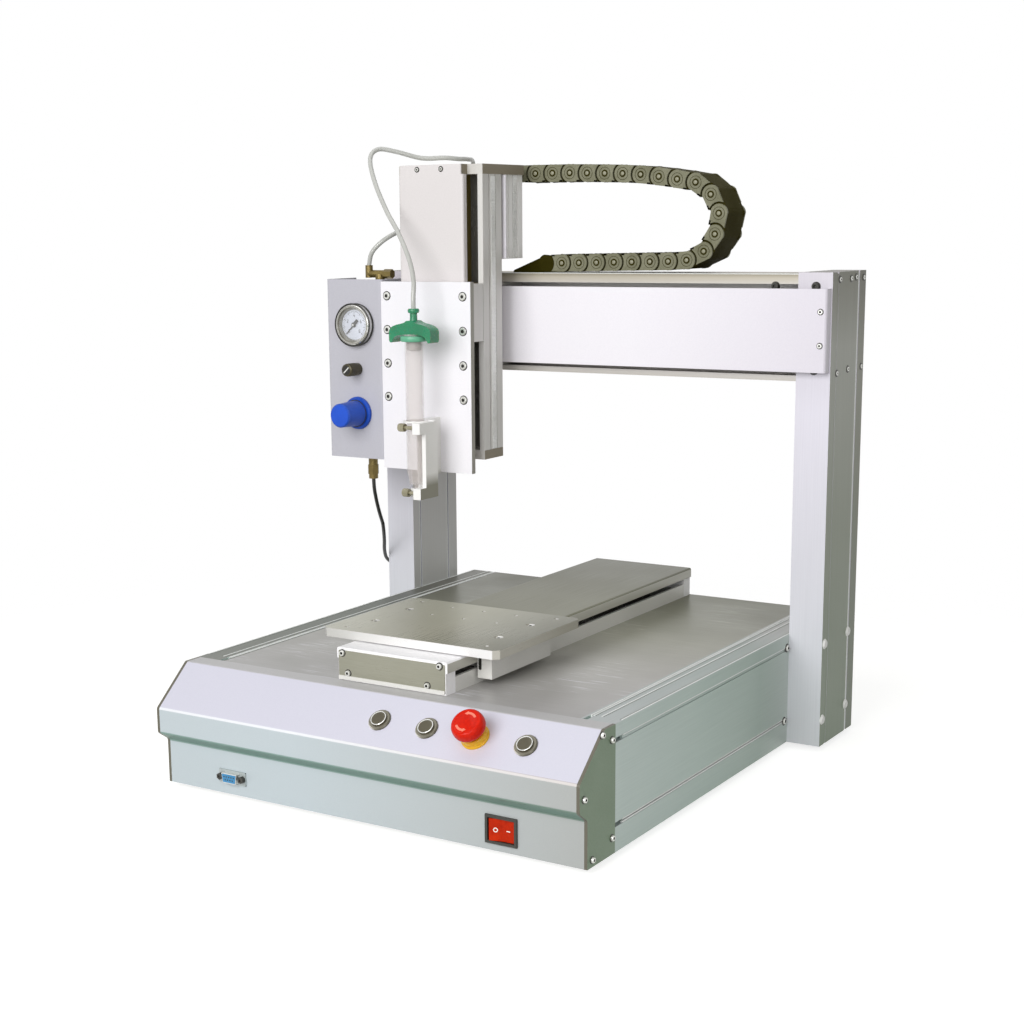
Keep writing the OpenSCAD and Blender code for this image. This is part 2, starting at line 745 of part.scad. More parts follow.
module rocker() {
    swing_room = 1.4;
    l = switch_w / 2 - switch_rim - swing_room;
    h = switch_h - 2 * switch_rim - 2 * slide_gap;
    up = 1.5;
    foot = 3;
    pin_l = 1;
    color("red") translate([switch_x, front_y + rocker_pivot, base_z + switch_z - h / 2])
        rotate([0, 0, rocker_tip]) {
        linear_extrude(h)
            polygon([[-l, -rocker_pivot - up], [0, -rocker_pivot], [l, -rocker_pivot - up], [l, 0],
                     [foot, 2 * rocker_pivot], [-foot, 2 * rocker_pivot], [-l, 0]]);
        translate([0, 0, -pin_l]) cylinder(r = rocker_pin_r, h = h + 2 * pin_l);
    }
}
module serial_port() {
    shell = [8.5, 4.2];
    shell_l = 6;
    slant = 1.4;
    flange = [serial_w / 2, 6.25];
    flange_l = 1.2;
    post_x = serial_w / 2 - 3;
    post = [2.6, 5];
    translate([serial_x, front_y, base_z + serial_z]) {
        block([-flange[0], -flange_l, -flange[1]], [flange[0], 0, flange[1]]);
        rotate([90, 0, 0]) linear_extrude(shell_l)
            polygon([[-shell[0], shell[1]], [-shell[0] + slant, -shell[1]], [shell[0] - slant, -shell[1]],
                     shell]);
        for (x = [-post_x, post_x])
            translate([x, 0, 0]) rotate([90, 0, 0]) cylinder(r = post[0], h = post[1], $fn = 6);
    }
}
module mains_inlet() {
    half = inlet_hole - [slide_gap, slide_gap];
    wall = 2;
    deep = 22;
    translate([inlet_x, back_y, base_z + inlet_z]) difference() {
        union() {
            block([-inlet_w / 2, 0, -inlet_h / 2], [inlet_w / 2, wall, inlet_h / 2]);
            block([-half[0], -deep, -half[1]], [half[0], cut, half[1]]);
        }
        block([-half[0] + wall, -deep + wall, -half[1] + wall],
              [half[0] - wall, wall + cut, half[1] - wall]);
    }
}
module panel_sockets() {
    color([0.25, 0.45, 0.75]) serial_port();
    color(black_plastic) mains_inlet();
}
module air_inlet() {
    nut = [port_r + 2, 4];
    elbow = hose_lower_route[len(hose_lower_route) - 1];
    low = elbow - [0, 0, air_inlet_down];
    reach = -base_w / 2 - elbow[0];
    color(brass) {
        translate(low - [0, 0, port_r]) cylinder(r = port_r, h = air_inlet_down + port_r);
        bar_x(low, port_r - 1, reach);
        translate(low + [reach - nut[1], 0, 0]) rotate([0, 90, 0])
            cylinder(r = nut[0], h = nut[1], $fn = 6);
    }
}

// Gantry

module column_profile() {
    inner = column_w - 2 * groove_d - 2 * profile_wall;
    difference() {
        square([column_w, column_d]);
        for (y = [column_groove_a, column_groove_b], x = [-cut, column_w - groove_d])
            translate([x, y - groove_w / 2]) square([groove_d + cut, groove_w]);
        for (y = [column_groove_a, column_groove_b]) translate([column_w / 2, y]) circle(r = inner / 2);
        translate([(column_w - inner) / 2, column_groove_a + inner / 2 + profile_wall])
            square([inner, column_groove_b - column_groove_a - inner - 2 * profile_wall]);
    }
}
module column_right() {
    rim = groove_d + profile_wall / 2;
    color(white_paint) translate([base_w / 2, column_y0, base_z]) {
        linear_extrude(column_h) column_profile();
        for (z = [0, column_h - cap_t])
            translate([rim, profile_wall / 2, z])
                cube([column_w - 2 * rim, column_d - profile_wall, cap_t]);
    }
}
module column_left() {
    mirror([1, 0, 0]) column_right();
}
module x_beam() {
    color(clear_anodised) along_x(-base_w / 2, base_w) translate([column_y0, beam_bot]) difference() {
        square([beam_d, beam_h]);
        translate([-cut, beam_lip_low]) square([beam_channel, beam_h - beam_lip_low - beam_lip_high]);
        translate([beam_wall, beam_wall]) square([beam_channel - beam_wall, beam_h - 2 * beam_wall]);
        translate([beam_channel + beam_wall, beam_wall])
            square([beam_d - beam_channel - 2 * beam_wall, beam_h - 2 * beam_wall]);
    }
}
module x_cover() {
    half = base_w / 2 + column_w - 1;
    line = [[-half, column_y0], [-half, cover_y], [half, cover_y], [half, column_y0]];
    color(white_paint) translate([0, 0, cover_z0]) linear_extrude(cover_h)
        sheet_profile(round_path(line, 2 * cover_t, 4), -cover_t);
}
module guide_rails() {
    color(steel) {
        for (s = [-1, 1])
            block([-base_w / 2, channel_y - rail_h, beam_mid + s * x_rail_pitch / 2 - rail_w / 2],
                  [x_motor_x - screw_seat, channel_y, beam_mid + s * x_rail_pitch / 2 + rail_w / 2]);
        for (s = [-1, 1])
            block([s * y_rail_pitch / 2 - rail_w / 2, y_y0 + y_block_d, base_top + y_floor],
                  [s * y_rail_pitch / 2 + rail_w / 2, y_y1 - y_block_d, base_top + y_floor + rail_h]);
    }
}
module axis_motors() {
    seat = screw_seat + seat_gap;
    half = y_motor_w / 2;
    color(black_plastic) {
        difference() {
            block([x_motor_x, channel_y - motor_w, beam_mid - motor_w / 2],
                  [base_w / 2, channel_y, beam_mid + motor_w / 2]);
            bar_x([x_motor_x - cut, x_screw_y, beam_mid], screw_r + fit_gap, seat + cut);
        }
        difference() {
            block([-half, y_motor_y, y_screw_z - half], [half, y_motor_y + motor_l, y_screw_z + half]);
            bar_y([0, y_motor_y - cut, y_screw_z], y_screw_r + fit_gap, seat + cut);
        }
    }
}
module x_screw() {
    free = 4;
    color(steel)
        bar_x([free - base_w / 2, x_screw_y, beam_mid], screw_r,
              x_motor_x + screw_seat + base_w / 2 - free);
}

// Table axis

module y_body() {
    color(clear_anodised) difference() {
        along_y(y_y0 + y_block_d, y_y1 - y_y0 - 2 * y_block_d) translate([0, base_top])
            difference() {
                translate([-y_w / 2, 0]) square([y_w, y_wall_h]);
                translate([-y_w / 2 + y_wall, y_floor]) square([y_w - 2 * y_wall, y_wall_h]);
            }
        motor_window(base_top - cut, base_top + y_floor + cut);
    }
}
module y_end_blocks() {
    color(white_paint) difference() {
        for (y = [y_y0, y_y1 - y_block_d])
            block([-y_w / 2, y, base_top], [y_w / 2, y + y_block_d, y_top - cover_t]);
        bar_y([0, y_y0 + y_block_d - screw_seat - seat_gap, y_screw_z], y_screw_r + fit_gap,
              screw_seat + 2 * cut);
    }
}
module y_cover() {
    half = y_w / 2 + cover_t;
    line = [[-half, y_top - y_lip], [-half, y_top], [half, y_top], [half, y_top - y_lip]];
    color(clear_anodised) along_y(y_y0, y_y1 - y_y0)
        sheet_profile(round_path(line, 1.5 * cover_t, 4), cover_t);
}
module y_screw() {
    color(steel)
        bar_y([0, y_y0 + y_block_d - screw_seat, y_screw_z], y_screw_r,
              y_motor_y + 2 * screw_seat - y_y0 - y_block_d);
}
module y_saddle() {
    rail_room = rail_w / 2 + slide_gap;
    web_top = y_web_z + y_web_t;
    rail_top = base_top + y_floor + rail_h;
    under = base_top + y_floor + cut;
    nut = y_screw_r + 5;
    color(clear_anodised) difference() {
        union() {
            block([-y_out - y_arm_w, table_y - y_slide_l / 2, y_web_z],
                  [y_out + y_arm_w, table_y + y_slide_l / 2, web_top]);
            for (s = [-1, 1])
                block([s * (y_out + y_arm_w / 2) - y_arm_w / 2, table_y - y_arm_l / 2, table_z - y_arm_h],
                      [s * (y_out + y_arm_w / 2) + y_arm_w / 2, table_y + y_arm_l / 2, table_z]);
            for (s = [-1, 1])
                block([s * y_rail_pitch / 2 - rail_w, table_y - y_slide_l / 2, under],
                      [s * y_rail_pitch / 2 + rail_w, table_y + y_slide_l / 2, web_top]);
            block([-nut, table_y - y_slide_l / 2, under], [nut, table_y + y_slide_l / 2, web_top]);
        }
        for (s = [-1, 1])
            block([s * y_rail_pitch / 2 - rail_room, table_y - y_arm_l, under - cut],
                  [s * y_rail_pitch / 2 + rail_room, table_y + y_arm_l, rail_top + slide_gap]);
        bar_y([0, table_y - y_arm_l, y_screw_z], y_screw_r + fit_gap, 2 * y_arm_l);
    }
}
module work_table() {
    half = [table_w / 2, table_d / 2];
    a = half - [table_cut, 0];
    b = half - [0, table_cut];
    line = [a, b, [b[0], -b[1]], [a[0], -a[1]], -a, -b, [-b[0], b[1]], [-a[0], a[1]]];
    sink = table_t / 2;
    color(clear_anodised) translate([0, table_y, table_z]) difference() {
        linear_extrude(table_t) polygon(line);
        for (x = [-1, 1], y = [-1, 1])
            translate([x * hole_x / 2, y * hole_y / 2, -cut]) cylinder(r = hole_r, h = table_t + 2 * cut);
        for (x = [-1:1], y = [0, 1])
            translate([x * tap_pitch, tap_first + y * tap_pitch, -cut])
                cylinder(r = tap_r, h = table_t + 2 * cut);
        for (x = [-1, 1], y = [-1, 1])
            translate([x * table_screw_x, y * table_screw_pitch / 2, table_t - sink])
                cylinder(r = table_screw_r, h = sink + cut);
    }
}

// Cross slide and vertical axis

module x_saddle() {
    w = head_w / 2;
    back = channel_y - 1;
    half = x_plate_w / 2;
    trim = 6;
    low = x_arm_low;
    high = x_arm_high + x_arm_t;
    front = cover_y - x_plate_gap - x_plate_t;
    rail_room = rail_w / 2 + slide_gap;
    color(clear_anodised) difference() {
        translate([head_x, 0, 0]) {
            block([-x_slide_l / 2, x_screw_y - screw_r - nut_wall, low], [x_slide_l / 2, back, high]);
            for (z = [low, high - x_arm_t])
                block([-x_slide_l / 2, front, z], [x_slide_l / 2, back, z + x_arm_t]);
            block([-half, front, low], [half, front + x_plate_t, high]);
            block([trim - half, head_y1, low + trim], [half - trim, front + cut, high - trim]);
        }
        for (s = [-1, 1])
            block([head_x - w, channel_y - rail_h - slide_gap, beam_mid + s * x_rail_pitch / 2 - rail_room],
                  [head_x + w, channel_y + cut, beam_mid + s * x_rail_pitch / 2 + rail_room]);
        bar_x([head_x - w, x_screw_y, beam_mid], screw_r + fit_gap, 2 * w);
    }
}
module z_body() {
    w = head_w / 2;
    color(white_paint) translate([head_x, head_y, head_foot_z]) linear_extrude(head_l) difference() {
        translate([-head_left, 0]) square([head_left + w, head_d]);
        translate([-head_inner, -cut]) square([2 * head_inner, head_d - head_back + cut]);
        for (x = [-head_left, w], y = [head_d / 3, head_d * 2 / 3])
            translate([x - rib_d, y - rib_d / 2]) square([2 * rib_d, rib_d]);
    }
}
// Nose of an end plate that the front cover is screwed to
module cover_seat(z, h) {
    half = front_cover_w / 2 - 2 * cover_t;
    block([front_cover_x - half, front_cover_y + cover_t, z], [front_cover_x + half, head_y + cut, z + h]);
}
module z_end_plates() {
    w = head_w / 2;
    room = pulley_r + belt_gap + belt_t + belt_gap;
    first = pin_place(0);
    lug = link_inside - fit_gap;
    lug_h = 5;
    wing_x = first[0] - link_h / 2 - link_gap;
    color(dark_grey) {
        difference() {
            union() {
                block([head_x - head_left, head_y, head_cap_z],
                      [head_x + w, case_y + case_d, head_cap_z + head_cap]);
                cover_seat(head_cap_z, head_cap);
                block([wing_x - chain_wing_w, case_y, head_cap_z],
                      [wing_x, chain_mid_y + lug, head_cap_z + head_cap]);
                block([wing_x - cut, chain_mid_y - lug, first[1] - lug_h],
                      [first[0] + lug_h, chain_mid_y + lug, first[1] + lug_h]);
            }
            block([head_x - room, z_screw_y - room, head_cap_z - cut],
                  [head_x + room, motor_y + room, head_cap_z + belt_w + belt_gap]);
        }
        difference() {
            union() {
                block([head_x - head_left, head_y, head_foot_z - head_foot],
                      [head_x + w, head_y1, head_foot_z]);
                cover_seat(head_foot_z - head_foot, head_foot);
            }
            translate([head_x, z_screw_y, head_foot_z - screw_seat])
                cylinder(r = screw_r + fit_gap, h = screw_seat + cut);
        }
    }
}
module z_cover() {
    half = front_cover_w / 2;
    line = [[half, front_cover_lip], [half, 0], [-half, 0], [-half, front_cover_lip]];
    color(white_paint) translate([front_cover_x, front_cover_y, 0]) {
        translate([0, 0, head_foot_z]) linear_extrude(head_l)
            sheet_profile(round_path(line, 1.5 * cover_t, 4), cover_t);
        block([1.5 * cover_t - half, 0, head_foot_z - head_foot],
              [half - 1.5 * cover_t, cover_t, head_cap_z + head_cap]);
    }
}
module z_rails() {
    y = head_y1 - head_back;
    color(steel) for (s = [-1, 1])
        block([head_x + s * z_rail_pitch / 2 - rail_w / 2, y - rail_h, head_foot_z],
              [head_x + s * z_rail_pitch / 2 + rail_w / 2, y, head_cap_z]);
}
module z_motor() {
    color(clear_anodised) difference() {
        translate([head_x, case_y, head_cap_z - case_h]) linear_extrude(case_h) difference() {
            translate([-case_w / 2, 0]) square([case_w, case_d]);
            for (s = [-1, 1], y = [case_d / 4, case_d / 2, case_d * 3 / 4])
                translate([s * case_w / 2 - rib_d, y - rib_d / 2]) square([2 * rib_d, rib_d]);
        }
        translate([head_x, motor_y, head_cap_z - screw_seat])
            cylinder(r = shaft_r + fit_gap, h = screw_seat + cut);
    }
}
module pulley(y) {
    translate([head_x, y, head_cap_z + belt_gap]) cylinder(r = pulley_r, h = belt_w - belt_gap);
}
module z_motor_pulley() {
    color(steel) {
        pulley(motor_y);
        translate([head_x, motor_y, head_cap_z - screw_seat + seat_gap])
            cylinder(r = shaft_r, h = screw_seat + cut);
    }
}
module z_screw() {
    color(steel) {
        pulley(z_screw_y);
        translate([head_x, z_screw_y, head_foot_z - screw_seat + seat_gap])
            cylinder(r = screw_r, h = head_l + screw_seat + cut);
    }
}
module belt_outline(r) {
    for (y = [z_screw_y, motor_y]) translate([head_x, y]) circle(r = r);
    translate([head_x - r, z_screw_y]) square([2 * r, motor_y - z_screw_y]);
}
module z_belt() {
    color(black_plastic) translate([0, 0, head_cap_z + belt_gap]) linear_extrude(belt_w - belt_gap)
        difference() {
        belt_outline(pulley_r + belt_gap + belt_t);
        belt_outline(pulley_r + belt_gap);
    }
}

// Cable chain

// Heading of each link from the moving end over the bend to the fixed end
link_headings = [for (i = [0:link_count - 1]) -total(link_turns, min(i, len(link_turns) - 1))];
function total(v, i) = i < 0 ? 0 : v[i] + total(v, i - 1);
// Where pin i of the chain lies, as [x, z]
function pin_place(i) =
    i >= link_count ? [chain_end_x, chain_low_z] + chain_span :
    pin_place(i + 1) - chain_pitch * [cos(link_headings[i]), sin(link_headings[i])];
chain_span = chain_pitch * [total([for (h = link_headings) cos(h)], link_count - 1), 0];
module link_side_outline(x0, x1) {
    r = link_h / 2;
    flat = r - link_trim;
    difference() {
        union() {
            translate([x0, 0]) circle(r = r);
            translate([0, -flat]) square([chain_pitch, 2 * flat]);
        }
        translate([x1, 0]) circle(r = r + link_gap);
    }
}
// One link, with its outer cheeks at the origin and its inner cheeks a pitch along X
module chain_link() {
    r = link_h / 2;
    half = link_w / 2;
    pin_r = 3;
    bar = [4, 1.8];
    lid = [chain_pitch - 3, link_inside - link_gap];
    top = r - link_trim - bar[1];
    for (s = [0, 1]) mirror([0, s, 0]) translate([0, half, 0]) rotate([90, 0, 0]) {
        linear_extrude(link_side) link_side_outline(0, chain_pitch);
        translate([0, 0, link_side + link_gap]) linear_extrude(link_side) difference() {
            link_side_outline(chain_pitch, 0);
            translate([chain_pitch, 0]) circle(r = pin_r + fit_gap);
        }
        cylinder(r = pin_r, h = half - link_inside);
        linear_extrude(half - link_inside) difference() {
            translate([0, link_trim - r]) square([chain_pitch, link_h - 2 * link_trim]);
            for (x = [0, chain_pitch]) translate([x, 0]) circle(r = r + link_gap);
        }
    }
    for (z = [link_trim - r, top])
        translate([(chain_pitch - bar[0]) / 2, -half, z]) cube([bar[0], link_w, bar[1]]);
    translate([(chain_pitch - lid[0]) / 2, -lid[1], top]) cube([lid[0], 2 * lid[1], bar[1]]);
}
module cable_chain() {
    color(black_plastic) for (i = [0:link_count - 1]) {
        a = pin_place(i);
        translate([a[0], chain_mid_y, a[1]]) rotate([0, -link_headings[i], 0]) chain_link();
    }
}
module chain_anchor() {
    tail = pin_place(link_count);
    inside = link_inside - link_gap;
    lug = 5;
    tail_l = 42;
    up = chain_low_z - beam_top;
    color(black_plastic) translate([tail[0], chain_mid_y, beam_top])
        along_y(-inside, 2 * inside)
            polygon([[-tail_l, 0], [1 - tail_l, lug / 2], [-2 * lug, up + lug], [lug, up + lug],
                     [lug, up - lug], [-lug - 2, 0]]);
}

// Tool

module z_saddle() {
    z0 = z_arm_z1 - z_arm_l;
    rail_room = rail_w / 2 + slide_gap;
    block_y1 = head_y1 - head_back - 1;
    nut = screw_r + 5;
    color(clear_anodised) translate([head_x, 0, 0]) difference() {
        union() {
            block([-z_arm_out, z_block_y, z0], [z_arm_out, block_y1, z_arm_z1]);
            block([-z_arm_out, plate_y + plate_t, z0], [z_slot_left, z_block_y + cut, z_arm_z1]);
            block([z_slot_right, plate_y + plate_t, z0], [z_arm_out, z_block_y + cut, z_arm_z1]);
            block([-head_left, plate_y + plate_t, z0], [z_slot_left, head_y - z_slot_gap, z_arm_z1]);
            block([z_slot_right, plate_y + plate_t, z0], [head_w / 2, head_y - z_slot_gap, z_arm_z1]);
            block([-nut, z_screw_y - screw_r - nut_wall, z0], [nut, z_block_y + cut, z_arm_z1]);
        }
        for (s = [-1, 1])
            block([s * z_rail_pitch / 2 - rail_room, head_y1 - head_back - rail_h - slide_gap, z0 - cut],
                  [s * z_rail_pitch / 2 + rail_room, head_y1, z_arm_z1 + cut]);
        translate([0, z_screw_y, z0 - cut]) cylinder(r = screw_r + fit_gap, h = z_arm_l + 2 * cut);
    }
}
module tool_plate() {
    left = head_x - head_w / 2 - plate_left;
    right = head_x + head_w / 2;
    edge = [7.5, 9.3];
    drop = 14.5;
    sink = plate_t / 2;
    color(white_paint) difference() {
        block([left, plate_y, plate_z0], [right, plate_y + plate_t, plate_z1]);
        for (x = [left + edge[0], right - edge[1]], i = [0:3])
            bar_y([x, plate_y - cut, plate_z1 - drop - i * plate_screw_pitch], plate_screw_r, sink + cut);
    }
}
module syringe_holder() {
    za = plate_z1 - clamp_a;
    zb = plate_z1 - clamp_b;
    web_x = tool_x - web_w / 2;
    half_h = clamp_h / 2;
    ring_t = 1.6;
    near = tool_y + seat_r - 1;
    back = lug_y1 + 2;
    knee = 7;
    color(clear_anodised) difference() {
        union() {
            translate([tool_x, tool_y, za + half_h - ring_t]) cylinder(r = clamp_r, h = ring_t);
            block([web_x, tool_y - web_w / 2, zb - half_h], [lug_x1, back, zb + half_h / 2]);
            for (z = [za, zb])
                block([lug_x0, lug_y0, z - half_h], [lug_x1, lug_y1, z + half_h - ring_t / 2]);
            block([web_x, near, zb], [lug_x1, back, za + half_h]);
            along_x(tool_x + seat_r + clamp_wall, lug_x1 - tool_x - seat_r - clamp_wall)
                polygon([[tool_y - knee, za], [back, za], [back, plate_z0], [back - knee, zb],
                         [tool_y - knee, zb]]);
            along_x(web_x, web_w)
                polygon([[near, za + half_h], [plate_y, za + half_h], [plate_y, plate_z0],
                         [back, zb + half_h], [near, zb + half_h]]);
        }
        translate([tool_x, tool_y, barrel_low - tip_l / 2]) cylinder(r = seat_r, h = barrel_l);
        translate([tool_x, tool_y, barrel_low - tip_l - cut]) cylinder(r = tip_r + clamp_gap, h = tip_l);
        for (z = [za, zb])
            bar_x([lug_x0 - cut, thumb_y, z], thumb_shank_r + fit_gap, thumb_in + seat_gap + cut);
    }
}
module syringe_barrel() {
    bore = barrel_r - barrel_wall;
    tip_bore = tip_r / 2;
    taper_r = barrel_r * 0.75;
    taper_l = tip_l * 0.42;
    edge = 1.4;
    color([0.9, 0.9, 0.9, 0.6]) translate([tool_x, tool_y, barrel_low]) rotate_extrude()
        polygon([[tip_bore, -tip_l], [tip_r, -tip_l], [tip_r, -taper_l], [taper_r, -taper_l],
                 [barrel_r - edge, -edge],
                 [barrel_r, edge], [barrel_r, barrel_l - flange_t], [flange_r, barrel_l - flange_t],
                 [flange_r, barrel_l], [bore, barrel_l], [bore, edge],
                 [taper_r - edge, barrel_wall - taper_l],
                 [tip_bore, barrel_wall - taper_l]]);
}
module syringe_adapter() {
    half = wing_w / 2;
    lip = -flange_t - slide_gap;
    stem_low = 12;
    stem = 5;
    nut = [6.5, 4];
    tab = 5;
    color([0.15, 0.6, 0.4]) translate([tool_x, tool_y, barrel_top]) difference() {
        union() {
            along_y(-wing_d / 2, wing_d)
                polygon([[0, lip - tab / 2], [half - tab / 2, lip - tab], [half, lip - tab / 2],
                         [half, stem_low / 3],
                         [half * 2 / 3, stem_low - 1], [0, stem_low + 1], [-half * 2 / 3, stem_low - 1],
                         [-half, stem_low / 3], [-half, lip - tab / 2], [tab / 2 - half, lip - tab]]);
            translate([0, 0, lip - tab / 2]) cylinder(r = flange_r + clamp_wall / 2, h = stem_low - lip);
            translate([0, 0, stem_low]) cylinder(r = stem, h = adapter_stem);
            translate([0, 0, stem_low + adapter_stem - nut[1]]) cylinder(r = nut[0], h = nut[1]);
        }
        translate([0, 0, lip]) cylinder(r = flange_r + slide_gap, h = slide_gap - lip);
        translate([0, 0, lip - tab - cut]) cylinder(r = barrel_r + slide_gap, h = tab + 2 * cut);
    }
}
module clamp_screw(z, neck) {
    color(steel) {
        bar_x([lug_x0 - neck - thumb_l, thumb_y, z], thumb_r, thumb_l);
        bar_x([lug_x0 - neck - cut, thumb_y, z], thumb_shank_r, neck + thumb_in);
    }
}
module clamp_screw_upper() clamp_screw(plate_z1 - clamp_a, thumb_neck_a);
module clamp_screw_lower() clamp_screw(plate_z1 - clamp_b, thumb_neck_b);

// Control panel

module control_box() {
    line = [[box_x0, box_y + box_d], [box_x0, box_y], [box_x1, box_y], [box_x1, box_y + box_d]];
    tab = 20;
    tab_x = head_x - head_w / 2 + tab / 2;
    color(white_paint) difference() {
        union() {
            translate([0, 0, box_z0]) linear_extrude(box_h)
                sheet_profile(round_path(line, 2 * box_t, 4), -box_t);
            block([box_x1 - box_t, plate_y + plate_t, box_z0 + tab],
                  [tab_x, plate_y + plate_t + box_t, z_arm_z1 - z_arm_l - cut]);
        }
        on_box(gauge_z) translate([0, 0, -box_t - cut])
            cylinder(r = gauge_r - gauge_lip + slide_gap, h = box_t + 2 * cut);
        for (z = [meter_z, reg_z])
            on_box(z) translate([0, 0, -box_t - cut])
                cylinder(r = knob_stem_r + slide_gap, h = box_t + 2 * cut);
    }
}
module gauge() {
    case_r = gauge_r - gauge_lip;
    case_l = 14;
    edge = 1.5;
    color(steel) on_box(gauge_z) rotate_extrude()
        polygon([[0, -case_l], [case_r, -case_l], [case_r, 0], [gauge_r, 0], [gauge_r, gauge_out - edge],
                 [gauge_r - edge, gauge_out], [gauge_r - 2 * edge, gauge_out],
                 [gauge_r - 2 * edge, gauge_dial],
                 [needle_pin_r, gauge_dial], [needle_pin_r, gauge_dial + 2 * edge],
                 [0, gauge_dial + 2 * edge]]);
}
module gauge_needle() {
    hub = [2.6, 1.2];
    tail = [6, 1];
    tip = [gauge_r - 8, 0.3];
    thick = 0.8;
    rest = -135;
    color("black") on_box(gauge_z) translate([0, 0, gauge_dial + belt_gap]) rotate([0, 0, rest])
        difference() {
        union() {
            cylinder(r = hub[0], h = hub[1]);
            linear_extrude(thick) polygon([-tail, [tip[0], -tip[1]], tip, [-tail[0], tail[1]]]);
        }
        translate([0, 0, -cut]) cylinder(r = needle_pin_r + fit_gap, h = hub[1] + 2 * cut);
    }
}
module regulator_knob() {
    edge = 1.2;
    flange = 4;
    color([0.15, 0.3, 0.8]) on_box(reg_z) rotate_extrude()
        polygon([[0, -knob_stem_l], [knob_stem_r, -knob_stem_l], [knob_stem_r, slide_gap],
                 [reg_flange_r, slide_gap],
                 [reg_flange_r, flange - edge], [reg_flange_r - edge, flange], [reg_r + edge, flange],
                 [reg_r, reg_out - edge], [reg_r - edge, reg_out], [0, reg_out]]);
}
module metering_knob() {
    edge = 0.8;
    color(brass) on_box(meter_z) rotate_extrude()
        polygon([[0, -knob_stem_l], [knob_stem_r, -knob_stem_l], [knob_stem_r, slide_gap],
                 [meter_r, slide_gap],
                 [meter_r, meter_out - edge], [meter_r - edge, meter_out], [0, meter_out]]);
}
module box_fittings() {
    half = valve_w / 2;
    low = reg_z - half;
    high = meter_z + half / 2;
    top = tube_route[len(tube_route) - 1];
    bottom = hose_upper_route[0];
    pipe_r = port_r - 1;
    pipe_z = box_z1 + port_r;
    pipe_l = 30;
    side = half - port_r;
    nut = [port_r + 1.2, 10];
    color(brass) difference() {
        union() {
            translate([box_x, 0, 0]) block([-half, valve_y, low], [half, valve_y + valve_d, high]);
            translate(bottom) cylinder(r = port_r, h = low - bottom[2] + cut);
            translate(bottom + [0, 0, port_r]) cylinder(r = nut[0], h = nut[1], $fn = 6);
            translate([top[0] + side, top[1], high - cut]) cylinder(r = port_r, h = pipe_z - high + cut);
            bar_x([top[0], top[1], pipe_z], pipe_r, pipe_l);
            translate([top[0] + pipe_l - nut[1], top[1], pipe_z]) rotate([0, 90, 0])
                cylinder(r = port_r, h = nut[1], $fn = 6);
            translate([top[0], top[1], pipe_z - pipe_r]) cylinder(r = pipe_r, h = top[2] - pipe_z + pipe_r);
        }
        for (z = [meter_z, reg_z])
            on_box(z) translate([0, 0, -knob_stem_l - slide_gap])
                cylinder(r = knob_stem_r + fit_gap, h = knob_stem_l);
    }
}

// Air lines

function unit(v) = v / norm(v);
// A smooth curve through the points of a route, with n steps between each pair
function curve(p, n) = [for (i = [0:len(p) - 2], k = [0:n - 1])
    let(a = p[max(i - 1, 0)], b = p[i], c = p[i + 1], d = p[min(i + 2, len(p) - 1)], t = k / n)
    ((2 * b) + (c - a) * t + (2 * a - 5 * b + 4 * c - d) * t * t + (3 * b - a - 3 * c + d) * t * t * t) / 2,
    p[len(p) - 1]];
function heading(p, i) = unit(p[min(i + 1, len(p) - 1)] - p[max(i - 1, 0)]);
// The ring direction carried along the path without twist
function ring_up(p, i, up) = let(h = heading(p, i), v = unit(up - h * (up * h))) v;
function ring_ups(p, i, up) = i == len(p) ? [] :
    let(v = ring_up(p, i, up)) concat([v], ring_ups(p, i + 1, v));
module hose(route, r, steps, sides) {
    p = curve(route, steps);
    ups = ring_ups(p, 0, [1, 0.2, 0]);
    points = [for (i = [0:len(p) - 1], k = [0:sides - 1])
        let(h = heading(p, i), u = ups[i], w = cross(h, u),
            t = k * 360 / sides) p[i] + r * (u * cos(t) + w * sin(t))];
    last = (len(p) - 1) * sides;
    walls = [for (i = [0:len(p) - 2], k = [0:sides - 1])
        [i * sides + k, (i + 1) * sides + k, (i + 1) * sides + (k + 1) % sides,
         i * sides + (k + 1) % sides]];
    polyhedron(points,
               concat([[for (k = [0:sides - 1]) k]], walls, [[for (k = [sides - 1:-1:0]) last + k]]));
}
module air_tube() {
    color([0.8, 0.8, 0.78, 0.7]) hose(tube_route, tube_r, 2, 8);
}
module air_hose_upper() {
    color(black_plastic) hose(hose_upper_route, hose_r, 1, 8);
}
module air_hose_lower() {
    color(black_plastic) hose(hose_lower_route, hose_r, 2, 8);
}

base_side_left();
base_side_right();
base_top_plate();
base_pan();
front_panel();
end_plate_left();
end_plate_right();
rubber_feet();
electronics();
column_left();
column_right();
x_beam();
x_cover();
guide_rails();
axis_motors();
y_body();
y_end_blocks();
y_cover();
button_rings();
estop_collar();
rocker_frame();
panel_sockets();
air_inlet();
chain_anchor();
button_left();
button_middle();
button_right();
estop_stem();
estop_head();
rocker();
x_screw();
y_screw();
y_saddle();
work_table();
x_saddle();
z_body();
z_end_plates();
z_cover();
z_rails();
z_motor();
z_belt();
cable_chain();
z_screw();
z_motor_pulley();
z_saddle();
tool_plate();
syringe_holder();
syringe_barrel();
syringe_adapter();
control_box();
gauge();
gauge_needle();
regulator_knob();
metering_knob();
clamp_screw_upper();
clamp_screw_lower();
box_fittings();
air_tube();
air_hose_upper();
air_hose_lower();
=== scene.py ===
"""Looks of a desktop dispensing robot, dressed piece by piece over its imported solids."""
import math
import bmesh
import bpy
from mathutils import Euler, Matrix, Vector


